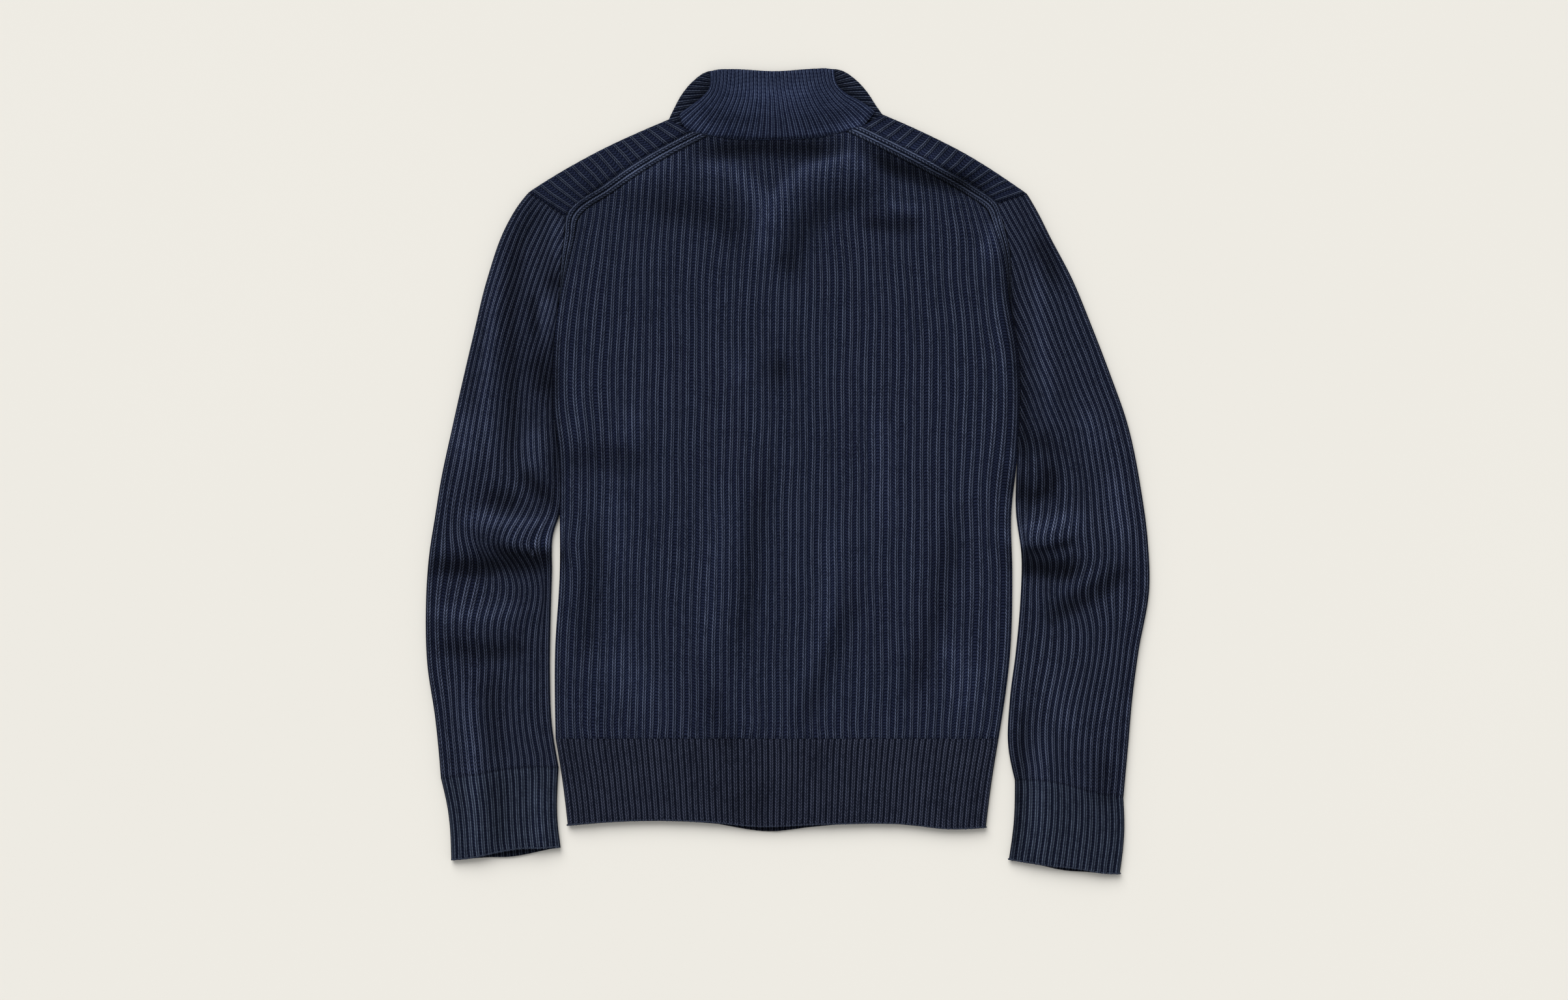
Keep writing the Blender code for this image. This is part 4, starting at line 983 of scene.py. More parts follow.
@dataclass(frozen=True)
class RibRaiser:
    """The Geometry Nodes tree that raises ribs from a smooth wall."""

    name: str = "raise_ribs"
    grain: float = 55.0

    def tree(self) -> bpy.types.NodeTree:
        """Builds the tree once, or gives the one that there is."""
        if self.name in bpy.data.node_groups:
            return bpy.data.node_groups[self.name]
        w, given = start_tree(self.name, {
            "Crest Share": "Float", "Crest Flatness": "Float", "Unevenness": "Float",
            "Seed": "Float",
        })
        wale, lean = (
            w.add("GeometryNodeInputNamedAttribute", {"Name": label}, data_type=kind).outputs[
                "Attribute"]
            for label, kind in (("wale", "FLOAT"), ("lean", "FLOAT_VECTOR"))
        )
        across = w.math("ABSOLUTE", w.math("SUBTRACT", w.math("FRACT", wale), 0.5))
        half = w.math("MULTIPLY", given.outputs["Crest Share"], 0.5)
        inward = w.math("SUBTRACT", 1.0, w.math("DIVIDE", across, half))
        crest = w.step(inward, 0.0, given.outputs["Crest Flatness"])
        noise = w.add(
            "ShaderNodeTexNoise",
            {"W": given.outputs["Seed"], "Scale": self.grain, "Detail": 1.0},
            noise_dimensions="4D",
        )
        uneven = w.math("SUBTRACT", noise.outputs[0], 0.5)
        uneven = w.math("MULTIPLY_ADD", uneven, given.outputs["Unevenness"], 1.0)
        rise = w.math("MULTIPLY", crest, uneven)
        offset = w.vector("SCALE", {0: lean, "Scale": rise})
        inputs = {"Geometry": given.outputs["Geometry"], "Offset": offset}
        moved = w.add("GeometryNodeSetPosition", inputs)
        return w.hand_over(moved.outputs[0], given.outputs["Material"])


@dataclass(frozen=True)
class KnitFinish:
    """Washed rib knit: faded chains of stitches on the ribs over dark purl valleys."""

    name: str
    wale_share: float
    crest: tuple[float, float, float]
    valley: tuple[float, float, float]
    knot: tuple[float, float, float] = (0.0138, 0.0188, 0.0430)
    wear_and_shading: float = 1.0
    stitch_depth: float = 0.9
    slant: float = 1.25
    beading: float = 0.9
    bow: float = 0.58
    stroke: float = 0.50
    middle: float = 0.02
    clouds: float = 9.0
    patches: float = 70.0
    waves: float = 26.0
    grain: float = 620.0
    fuzz: float = 1400.0

    def chain(self, w: Wiring, across: object,
              course: object) -> tuple[bpy.types.NodeSocket, bpy.types.NodeSocket]:
        """Draws the two legs of each stitch on a rib.

        Args:
            w: The material's wiring.
            across: How far each place is from the rib's middle.
            course: How far along the knitting it is.

        Returns:
            How much of a leg is there, and the slanted course that counts the legs.
        """
        leg_across = w.math("DIVIDE", across, self.wale_share / 2)
        slant = w.math("SUBTRACT", course, w.math("MULTIPLY", leg_across, self.slant))
        ripple = w.math("ABSOLUTE", w.math("MULTIPLY_ADD", w.math("FRACT", slant), 2.0, -1.0))
        gap = w.step(w.math("SUBTRACT", 1.0, ripple), 0.16, 0.66)
        gap = w.math("MULTIPLY_ADD", gap, self.beading, 1.0 - self.beading)
        bow = w.math("ABSOLUTE", w.math("SUBTRACT", leg_across, self.bow))
        rounding = w.step(w.math("SUBTRACT", self.stroke, bow), 0.0, self.stroke * 0.68)
        return w.math("MULTIPLY", gap, rounding), slant

    def bars(self, w: Wiring, rib: object, across: object,
             course: object) -> bpy.types.NodeSocket:
        """Draws the purl bars in the valleys.

        Args:
            w: The material's wiring.
            rib: The number of the rib and the place in it.
            across: How far each place is from the rib's middle.
            course: How far along the knitting it is.

        Returns:
            How much of a bar is there.
        """
        half = self.wale_share / 2
        far_half = w.math("GREATER_THAN", w.math("FRACT", rib), 0.5)
        turn = w.math("MULTIPLY_ADD", across, -0.9, course)
        turn = w.math("FRACT", w.math("MULTIPLY_ADD", far_half, 0.3, turn))
        bar = w.step(w.math("ABSOLUTE", w.math("MULTIPLY_ADD", turn, 2.0, -1.0)), 0.12, 0.62)
        return w.math("MULTIPLY", bar, w.step(across, half + 0.01, half + 0.11))

    def fading(self, w: Wiring, place: object, rib: object,
               slant: object) -> bpy.types.NodeSocket:
        """Varies the fading in clouds, in patches and from leg to leg.

        Args:
            w: The material's wiring.
            place: The place on the object.
            rib: The number of the rib and the place in it.
            slant: The slanted course that counts the legs.

        Returns:
            How faded each place is, about the finish's own wear.
        """
        leg = w.xyz(w.math("FLOOR", w.math("MULTIPLY", rib, 2.0)), w.math("FLOOR", slant))
        lone = w.add("ShaderNodeTexWhiteNoise", {"Vector": leg}, noise_dimensions="3D")
        patchy, cloudy = w.noise(place, self.patches, 3.0), w.noise(place, self.clouds, 3.0)
        wear_and_shading = self.wear_and_shading
        for part, spread in ((patchy, 0.9), (cloudy, 0.5), (lone.outputs[0], 0.6)):
            wear_and_shading = w.math("MULTIPLY_ADD", w.math("SUBTRACT", part, 0.5), spread, wear_and_shading)
        return wear_and_shading

    def material(self) -> bpy.types.Material:
        """Builds the material, which reads the piece's own UV map of ribs and courses."""
        finish, w, shader = start_finish(self.name, 0.92)
        for label, value in (("Specular IOR Level", YARN_GLOSS), ("Sheen Weight", 0.01),
                             ("Sheen Roughness", 0.6), ("Sheen Tint", (0.5, 0.6, 0.85, 1.0))):
            shader.inputs[label].default_value = value
        uv = w.add("ShaderNodeUVMap", uv_map=KNIT_MAP)
        rib, course, _ = w.add("ShaderNodeSeparateXYZ", {0: uv.outputs[0]}).outputs
        place = w.own_place()
        own = w.add("ShaderNodeTexWhiteNoise", {"W": w.math("FLOOR", rib)}, noise_dimensions="1D")
        course = w.math("MULTIPLY_ADD", w.noise(place, self.waves, 1.0), 2.6, course)
        course = w.math("MULTIPLY_ADD", own.outputs[0], 0.55, course)
        half = self.wale_share / 2
        across = w.math("ABSOLUTE", w.math("SUBTRACT", w.math("FRACT", rib), 0.5))
        on_wale = w.math("SUBTRACT", 1.0, w.step(across, half - 0.03, half + 0.05))
        leg, slant = self.chain(w, across, course)
        bar = self.bars(w, rib, across, course)
        shown = w.math("MULTIPLY_ADD", leg, 1.0 - self.middle, self.middle)
        shown = w.math("MULTIPLY", on_wale, shown)
        share = w.math("MULTIPLY", shown, self.fading(w, place, rib, slant))
        share.node.use_clamp = True
        knot = w.math("MULTIPLY_ADD", bar, 0.95, 0.02)
        knot = w.math("MULTIPLY", knot, w.noise(place, self.grain, 1.0))
        knot = w.math("MULTIPLY", knot, 2.0)
        low = w.blend(knot, (*self.valley, 1.0), (*self.knot, 1.0))
        colour = w.blend(share, low, (*self.crest, 1.0))
        # Painted light and shade: each step of the attribute, from creases, seam dips and inner
        # faces, brightens or darkens the colour
        worn = w.add("ShaderNodeAttribute", attribute_name="worn")
        tone = w.math("POWER", SHADE_TONE_STEP, worn.outputs["Fac"])
        tone = w.math("MINIMUM", w.math("MAXIMUM", tone, TONE_LIMITS[0]), TONE_LIMITS[1])
        w.join(w.vector("SCALE", {0: colour, "Scale": tone}), shader.inputs["Base Color"])
        raised = w.math("MULTIPLY", on_wale, w.math("MULTIPLY_ADD", leg, 0.7, 0.3))
        sunk = w.math("MULTIPLY", w.math("SUBTRACT", 1.0, on_wale), w.math("MULTIPLY", bar, 0.35))
        fuzz = w.math("MULTIPLY", w.noise(place, self.fuzz, 2.0), 0.22)
        w.emboss(shader, w.math("ADD", w.math("ADD", raised, sunk), fuzz), self.stitch_depth)
        return finish


def raised(places: np.ndarray, heights: np.ndarray) -> np.ndarray:
    """Adds a height to each place of a plan."""
    return np.concatenate([places, heights[..., None]], axis=-1)


def upright(lean: np.ndarray) -> np.ndarray:
    """Gives the upward part of a direction of length 1, from its part in plan."""
    return np.sqrt(np.clip(1.0 - (lean**2).sum(axis=-1), 0.0, 1.0))


def mouth(u: np.ndarray, v: np.ndarray, peek: tuple[float, float, float]) -> np.ndarray:
    """Gives how open a tube's mouth is.

    Args:
        u: Places across.
        v: Places along.
        peek: How far the lower layer shows, at which place across, and half how widely.

    Returns:
        How open it is at each place, from 0 to 1.
    """
    near = np.exp(-(((u - peek[1]) / peek[2]) ** 2)) * np.sin(np.pi * u) ** 0.5
    return near * smooth(MOUTH_FROM, 1.0, v)


@dataclass
class KnitPiece:
    """A knitted piece: its plan, its ribs and how it lies."""

    name: str
    plan: Patch | SleevePlan
    ribs: int
    lift: float
    crest: float
    rows: int
    folded: tuple[Side, ...] = ()
    fold_end: float = 1.0
    fold_radius: float = 4.0
    dips: dict[Side, tuple[float, float]] = field(default_factory=dict)
    drape: Drape = field(default_factory=Drape)
    course: float = 3.0
    marks: tuple[float, ...] = (0.0, 0.21, 0.28, 0.38, 0.5, 0.62, 0.72, 0.79)
    loft_rise: float = 0.0
    downward: bool = False
    gather: float = 1.0

    def width(self) -> float:
        """Gives the width half way along, in millimetres."""
        return float(self.plan.margins(np.array(1.0), np.array(0.5))[Side.LEFT])

    def columns(self) -> np.ndarray:
        """Gives the places across that draw the ribs and round the folds."""
        ribs = np.arange(self.ribs)[:, None] + np.array(self.marks)[None, :]
        places = np.unique(np.append(ribs.ravel() / self.ribs, 1.0))
        extra = np.array(FOLD_STEPS) / self.width()
        if Side.LEFT in self.folded:
            places = np.append(places, extra)
        if Side.RIGHT in self.folded:
            places = np.append(places, 1.0 - extra)
        return np.unique(places)

    def row_places(self) -> np.ndarray:
        """Gives the places along the piece, closer together at its ends."""
        tall = float(self.plan.margins(np.array(0.5), np.array(1.0))[Side.START])
        even = np.linspace(0.0, 1.0, self.rows + 1)
        close = np.array(END_STEPS) / tall
        return np.unique(np.concatenate([even, close, 1.0 - close]))

    def coords(self, u: np.ndarray, v: np.ndarray, worn: float | np.ndarray) -> np.ndarray:
        """Gives the rib, the course and the painted light and shade of each place.

        Args:
            u: Places across.
            v: Places along.
            worn: Steps of painted light and shade on the cloth: above 0 on a ridge, and below 0 in
                a hollow.

        Returns:
            The three values, last in the array.
        """
        rib = np.clip(u * self.ribs, 0.0, self.ribs - 1e-6)
        whole = np.floor(rib)
        rib = whole + 0.5 + (rib - whole - 0.5) * self.gather
        course = (-1.0 if self.downward else 1.0) * self.plan.run(u, v) / self.course
        return np.stack([rib, course, worn + np.zeros(rib.shape)], axis=-1)

    def wear_and_shading(self, u: np.ndarray, v: np.ndarray) -> np.ndarray:
        """Gives the painted light and shade of the upper face: lighter on its creases' ridges,
        darker in their troughs and where it sinks to its sewn edges.
        """
        places = self.drape.drawn(self.plan.place(u, v), self.calm(u, v))
        return self.drape.creased(places) - DIP_SHADE * self.dip(u, v)

    def plan_area(self) -> float:
        """Measures the piece's area in plan, in square metres."""
        places = self.plan.place(*np.meshgrid(np.linspace(0, 1, 41), np.linspace(0, 1, 61)))
        one, two = places[1:, 1:] - places[:-1, :-1], places[1:, :-1] - places[:-1, 1:]
        cells = (one[..., 0] * two[..., 1] - one[..., 1] * two[..., 0]) / 2
        return float(np.abs(cells).sum()) * MM * MM

    def rounding(self, u: np.ndarray, v: np.ndarray) -> tuple[np.ndarray, np.ndarray, np.ndarray]:
        """Works out how the piece rounds over its folded edges.

        Args:
            u: Places across.
            v: Places along.

        Returns:
            How full the wall is, how much loft it has, and which way its face leans in plan.
        """
        margins = self.plan.margins(u, v)
        full, fade = np.ones(u.shape), np.ones(u.shape)
        lean = np.zeros(u.shape + (2,))
        nudge = 1e-3
        across = self.plan.place(u + nudge, v) - self.plan.place(u - nudge, v)
        across /= np.linalg.norm(across, axis=-1)[..., None] + 1e-9
        side_folds = 1.0 - smooth(self.fold_end - 0.04, self.fold_end + 0.04, v)
        outward = {Side.LEFT: -1.0, Side.RIGHT: 1.0}
        for side in self.folded:
            held = side_folds if side in outward else np.ones(u.shape)
            reach = np.clip(margins[side] / self.fold_radius, 0.0, 1.0)
            full *= 1.0 - held * (1.0 - np.sqrt(1.0 - (1.0 - reach) ** 2))
            fade *= 1.0 - held * (1.0 - smooth(0.0, FOLD_FADE, margins[side]))
            lean += (outward.get(side, 0.0) * (1.0 - reach) * held)[..., None] * across
        return full, fade, lean

    def dip(self, u: np.ndarray, v: np.ndarray) -> np.ndarray:
        """Gives how far the face sinks towards its sewn edges.

        Args:
            u: Places across.
            v: Places along.

        Returns:
            The depths in millimetres.
        """
        margins, total = self.plan.margins(u, v), np.zeros(u.shape)
        for side, (depth, reach) in self.dips.items():
            total = np.maximum(total, depth * np.exp(-((margins[side] / reach) ** 2)))
        return total

    def calm(self, u: np.ndarray, v: np.ndarray) -> np.ndarray:
        """Gives how free each place is to be drawn aside: not at all at an edge.

        Args:
            u: Places across.
            v: Places along.

        Returns:
            The shares, from 0 to 1.
        """
        margins = self.plan.margins(u, v)
        free = np.ones(u.shape)
        for side in Side:
            free *= smooth(0.0, self.drape.calm, margins[side])
        return free

    def loft(self, u: np.ndarray, v: np.ndarray) -> np.ndarray:
        """Gives the loft before creases: more in the middle of a tube than at its seams.

        Args:
            u: Places across.
            v: Places along.

        Returns:
            The lofts in millimetres.
        """
        margins = self.plan.margins(u, v)
        middle = np.minimum(margins[Side.START], margins[Side.END])
        return self.drape.loft + self.loft_rise * smooth(*LOFT_REACH, middle)

    def laid(self, u: np.ndarray,
             v: np.ndarray) -> tuple[np.ndarray, np.ndarray, np.ndarray, np.ndarray]:
        """Lays the upper layer over the lower one.

        Args:
            u: Places across.
            v: Places along.

        Returns:
            The places in plan, how full the wall is, which way its face leans in plan, and
            the height of its underside.
        """
        places = self.drape.drawn(self.plan.place(u, v), self.calm(u, v))
        full, fade, lean = self.rounding(u, v)
        base = self.drape.ceiling(places, fade, self.loft(u, v))
        base = LOWER_WALL + (base - LOWER_WALL) * np.clip(full * FOLD_FILL, 0.0, 1.0)
        return places, full, lean, base

    def upper(self, u: np.ndarray, v: np.ndarray) -> tuple[np.ndarray, np.ndarray]:
        """Makes the upper layer's outer face, before its ribs.

        Args:
            u: Places across.
            v: Places along.

        Returns:
            The points, and which way and how far their ribs are raised.
        """
        places, full, lean, base = self.laid(u, v)
        dip = self.dip(u, v)
        z = base + FOLD_LIP + (VALLEY_WALL - FOLD_LIP) * full - dip
        keep = np.clip(1.0 - dip / DIP_FLAT, LEAST_RIB, 1.0)
        return raised(places, z), raised(lean, upright(lean)) * (self.lift * keep)[..., None]

    def ceiling(self, u: np.ndarray, v: np.ndarray) -> np.ndarray:
        """Makes the upper layer's plain inside."""
        places, _, _, base = self.laid(u, v)
        return raised(places, base)

    def lower(self, u: np.ndarray, v: np.ndarray) -> tuple[np.ndarray, np.ndarray]:
        """Makes the lower layer's underside, whose ribs come down to the surface.

        Args:
            u: Places across.
            v: Places along.

        Returns:
            The points, and which way and how far their ribs are raised.
        """
        full, _, lean = self.rounding(u, v)
        z = (LOWER_WALL - FOLD_LIP) * (1.0 - full) + self.lift * full
        leans = raised(lean, -upright(lean)) * self.lift * full[..., None]
        return raised(self.plan.place(u, v), z), leans

    def flat(self, u: np.ndarray, v: np.ndarray) -> np.ndarray:
        """Makes the lower layer's plain upper face."""
        return raised(self.plan.place(u, v), np.full(u.shape, LOWER_WALL))

    def add_panel(self, shell: Shell, under: bool = False, inner_count: int = 30) -> None:
        """Adds a closed wall of one layer.

        Args:
            shell: What to add it to.
            under: Whether it is the lower layer, ribbed on its underside.
            inner_count: How many columns its plain face has.
        """
        rows, outer_u = self.row_places(), self.columns()
        inner_u = np.linspace(0.0, 1.0, inner_count + 1)
        u, v = np.meshgrid(outer_u, rows)
        iu, iv = np.meshgrid(inner_u, rows)
        points, leans = self.lower(u, v) if under else self.upper(u, v)
        plain = self.flat(iu, iv) if under else self.ceiling(iu, iv)
        # Painted light and shade on the upper face from its creases and seam dips, none on the
        # lower layer; painted shade on the inner faces
        worn = 0.0 if under else self.wear_and_shading(u, v)
        outer = shell.grid(points, self.coords(u, v, worn), leans)
        inner = shell.grid(plain, self.coords(iu, iv, PANEL_INSIDE_SHADE), np.zeros(plain.shape))
        shell.skin(outer)
        shell.skin(inner)
        for end in (0, -1):
            shell.skin(np.stack([outer[:, end], inner[:, end]], axis=1))
        for end in (0, -1):
            shell.bridge(outer[end], outer_u, inner[end], inner_u)

    def add_ribbed_both(self, shell: Shell) -> None:
        """Adds a closed wall of the lower layer, ribbed above and below.

        Painted shade darkens it away from its outline, and it thins towards it.

        Args:
            shell: What to add it to.
        """
        u, v = np.meshgrid(self.columns(), self.row_places())
        places, inset = self.plan.place(u, v), self.plan.margins(u, v)[Side.START]
        lip = 0.5 * (1.0 - smooth(0.0, 2.0, inset))
        # Painted shade, growing from 2 mm to 22 mm inside the outline
        coords = self.coords(u, v, PANEL_INSIDE_SHADE * smooth(2.0, 22.0, inset))
        thin = 0.45
        sheets = []
        for height, lift in ((LOWER_WALL - self.lift - lip, self.lift), (thin + lip, -thin)):
            leans = np.zeros(places.shape[:-1] + (3,))
            leans[..., 2] = lift
            sheets.append(shell.grid(raised(places, height), coords, leans))
        top, bottom = sheets
        shell.skin(top)
        shell.skin(bottom)
        for end in (0, -1):
            shell.skin(np.stack([top[:, end], bottom[:, end]], axis=1))
            shell.skin(np.stack([top[end], bottom[end]], axis=1))

    def add_tube(self, shell: Shell, inner_count: int = 14,
                 peek: tuple[float, float, float] = (0.0, 0.5, 1.0), gape: float = 0.0) -> None:
        """Adds a flattened tube, open at both ends.

        Args:
            shell: What to add it to.
            inner_count: How many columns each plain inner face has.
            peek: How far the lower layer reaches past the upper at its end, and the place
                across and the half-width of where it does.
            gape: How far the mouth is open there.
        """
        rows, top_u = self.row_places(), self.columns()
        low_u = top_u[-2:0:-1]
        u, v = np.meshgrid(top_u, rows)
        lu, lv = np.meshgrid(low_u, rows)
        top, top_lean = self.upper(u, v)
        low, low_lean = self.lower(lu, lv)
        wall = TUBE_WALL / self.width()
        space = np.linspace(wall, 1.0 - wall, inner_count + 1)
        su, sv = np.meshgrid(space, rows)
        roof, floor = self.ceiling(su, sv), self.flat(su, sv)[:, ::-1]
        for points, across, along in ((low, lu, lv), (floor, su[:, ::-1], sv)):
            points[..., 1] -= peek[0] * mouth(across, along, peek)
        for points, across, along in ((top, u, v), (roof, su, sv)):
            points[..., 2] += gape * mouth(across, along, peek)
        # Painted light and shade on the upper layer from its creases and seam dips; painted shade
        # on the inner faces below
        outer_coords = [self.coords(u, v, self.wear_and_shading(u, v)), self.coords(lu, lv, 0.0)]
        outer = shell.grid(
            np.concatenate([top, low], axis=1),
            np.concatenate(outer_coords, axis=1),
            np.concatenate([top_lean, low_lean], axis=1),
        )
        both = np.concatenate([su, su[:, ::-1]], axis=1)
        inner_points = np.concatenate([roof, floor], axis=1)
        inner = shell.grid(
            inner_points,
            self.coords(both, np.concatenate([sv, sv], axis=1), TUBE_INSIDE_SHADE),
            np.zeros(inner_points.shape),
        )
        outer = np.concatenate([outer, outer[:, :1]], axis=1)
        inner = np.concatenate([inner, inner[:, :1]], axis=1)
        shell.skin(outer)
        shell.skin(inner)
        outer_keys = np.concatenate([top_u, 2.0 - low_u, [2.0]])
        inner_keys = np.concatenate([space, 2.0 - space[::-1], [2.0 + space[0]]])
        for end in (0, -1):
            shell.bridge(outer[end], outer_keys, inner[end], inner_keys)

    def finish(self, shell: Shell, finish: bpy.types.Material, seed: float) -> bpy.types.Object:
        """Turns the shell into the finished piece.

        Args:
            shell: The piece's points and faces.
            finish: Its material.
            seed: Sets the unevenness of its ribs.

        Returns:
            The piece.
        """
        piece = shell.piece(self.name)
        apply_tree(
            piece,
            RibRaiser().tree(),
            Crest_Share=self.crest,
            Crest_Flatness=0.75,
            Unevenness=0.5,
            Seed=seed,
            Material=finish,
        )
        LOG.info("%s: %d faces", piece.name, len(piece.data.polygons))
        return piece


def lay(piece: bpy.types.Object, node: str,
        area: float) -> None:
    """Args:
        piece: The finished piece.
        node: The solid it stands for.
        area: The cut's area in square metres; not used.
    """
    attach(piece, "garment")
    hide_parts(node)


@dataclass
class Body:
    """The front and back panels, and the fashioned bands along the back's shoulders."""

    wide_rib: bpy.types.Material
    band_rib: bpy.types.Material
    lift: float = 1.5
    crest: float = 0.54
    rows: int = 112
    front_lift: float = 1.2
    front_rows: int = 70
    band_lift: float = 2.0
    band_crest: float = 0.8
    band_rows: int = 60
    band_gather: float = 0.62

    def side_edges(self) -> tuple[Edge, Edge]:
        """Gives the body's two side edges, as sections that share their places along it."""
        table = np.array(BODY_SECTIONS)
        heights = (table[:, 1] + table[:, 3]) / 2
        shares = (heights - heights[0]) / (heights[-1] - heights[0])
        return Edge(table[:, :2], shares), Edge(table[:, 2:], shares)

    def band_seams(self) -> tuple[Edge, Edge]:
        """Gives the outer lines of the fashioned bands: up the armhole, then along the shoulder."""
        rows = BODY_SECTIONS[-BAND_TURN - 1 : -1]
        left = Edge([row[:2] for row in rows] + LEFT_SHOULDER_SEAM)
        right = Edge(RIGHT_SHOULDER_SEAM + [row[2:] for row in rows[::-1]])
        return left, right

    def band_lines(self) -> tuple[Edge, Edge]:
        """Gives the inner lines of the fashioned bands, which start narrow at the armhole."""
        left_seam, right_seam = self.band_seams()
        left, right = left_seam.moved(-BAND_WIDTH), right_seam.moved(-BAND_WIDTH)
        for index, part in enumerate(BAND_SHARES):
            for line, seam, place in ((left, left_seam, index), (right, right_seam, -1 - index)):
                line.points[place] = part * line.points[place] + (1 - part) * seam.points[place]
        left.points[-1], right.points[0] = NECK_BAND_LEFT, NECK_BAND_RIGHT
        return Edge(left.points, left_seam.shares), Edge(right.points, right_seam.shares)

    def back_plan(self) -> Patch:
        """Gives the back's plan below the fashioned bands, with its ribs kept upright."""
        left, right = self.side_edges()
        band_left, band_right = self.band_lines()
        turn = BAND_TURN + 1
        left.points[-turn:] = band_left.points[:turn]
        right.points[-turn:] = band_right.points[::-1][:turn]
        first, last = band_left.shares[BAND_TURN], band_right.shares[-1 - BAND_TURN]
        top = np.concatenate([
            band_left.at(np.linspace(first, 1.0, 12)),
            BACK_NECK[1:4],
            band_right.at(np.linspace(0.0, last, 12)),
        ])
        shares = (top[:, 0] - top[0, 0]) / (top[-1, 0] - top[0, 0])
        hem = Edge([BODY_SECTIONS[0][:2], BODY_SECTIONS[0][2:]])
        return Patch(hem, Edge(top, shares), left, right, hug=7.0)

    def make_back(self) -> None:
        """Makes the back panel with its bands."""
        plan = self.back_plan()
        shell = Shell()
        panel = KnitPiece(
            "back", plan, BODY_RIBS, self.lift, self.crest, self.rows,
            folded=(Side.LEFT, Side.RIGHT),
            fold_end=float(plan.left.shares[UNDERARM_SECTION]),
            dips={Side.END: (1.2, 2.0), Side.START: (0.5, 1.8)},
        )
        panel.add_panel(shell)
        panel_faces = len(shell.faces)
        area = panel.plan_area()
        for seam, line in zip(self.band_seams(), self.band_lines()):
            foot, top = (Edge([seam.points[end], line.points[end]]) for end in (0, -1))
            band = KnitPiece(
                "band", Patch(foot, top, seam, line), BAND_RIBS,
                self.band_lift, self.band_crest, self.band_rows,
                dips={Side.LEFT: (1.3, 1.3), Side.RIGHT: (1.0, 1.2)},
                gather=self.band_gather,
            )
            band.add_panel(shell, inner_count=3)
            area += band.plan_area()
        piece = panel.finish(shell, self.wide_rib, 1.0)
        piece.data.materials.append(self.band_rib)
        for face in piece.data.polygons[panel_faces:]:
            face.material_index = 1
        lay(piece, "back_panel", area)

    def front_plan(self) -> Patch:
        """Gives the front's plan: sides, shoulder ends and folds, and the neckline."""
        left, right = self.side_edges()
        shares = list(left.shares * TIP_SHARE / left.shares[-1]) + [1.0]
        left = Edge(np.vstack([left.points, LEFT_SHOULDER_FOLD[-1]]), shares)
        right = Edge(np.vstack([right.points, RIGHT_SHOULDER_FOLD[-1]]), shares)
        top = np.array(
            LEFT_SHOULDER_FOLD[::-1] + LEFT_NECKLINE[1:] + RIGHT_NECKLINE[::-1]
            + RIGHT_SHOULDER_FOLD[1:]
        )
        end = Edge(top, (top[:, 0] - top[0, 0]) / (top[-1, 0] - top[0, 0]))
        hem = Edge([BODY_SECTIONS[0][:2], BODY_SECTIONS[0][2:]])
        return Patch(hem, end, left, right, hug=NECKLINE_HUG)

    def make_front(self) -> None:
        """Makes the front panel, ribbed below and open at its centre for the zip."""
        plan = self.front_plan()
        shell = Shell()
        panel = KnitPiece(
            "front", plan, BODY_RIBS, self.front_lift, self.crest, self.front_rows,
            folded=(Side.LEFT, Side.RIGHT),
            fold_end=float(plan.left.shares[UNDERARM_SECTION]),
        )
        panel.add_panel(shell, under=True, inner_count=58)
        piece = panel.finish(shell, self.wide_rib, 2.0)
        open_slot(
            piece,
            (CENTRE_X - ZIP_SLOT_HALF, ZIP_SLOT_FOOT, -5.0),
            (CENTRE_X + ZIP_SLOT_HALF, ZIP_SLOT_TOP, 10.0),
        )
        area = panel.plan_area()
        lay(piece, "front_panel", area)

    def build(self) -> None:
        """Makes the back, then the front."""
        self.make_back()
        self.make_front()


def open_slot(piece: bpy.types.Object, low: tuple[float, float, float],
              high: tuple[float, float, float]) -> None:
    """Cuts a box out of a piece and keeps the result as its plain mesh.

    Args:
        piece: The piece to cut.
        low: The box's lowest corner, in millimetres.
        high: Its highest corner.
    """
    body = bmesh.new()
    bmesh.ops.create_cube(body, size=1.0)
    for vertex in body.verts:
        share = vertex.co + Vector((0.5, 0.5, 0.5))
        vertex.co = Vector([a + (b - a) * part for a, b, part in zip(low, high, share)]) * MM
    tool = linked("slot", as_mesh("slot", body))
    modifier = piece.modifiers.new("slot", "BOOLEAN")
    modifier.operation, modifier.solver, modifier.object = "DIFFERENCE", "EXACT", tool
    keep_result(piece, modifier)
    bpy.data.objects.remove(tool)


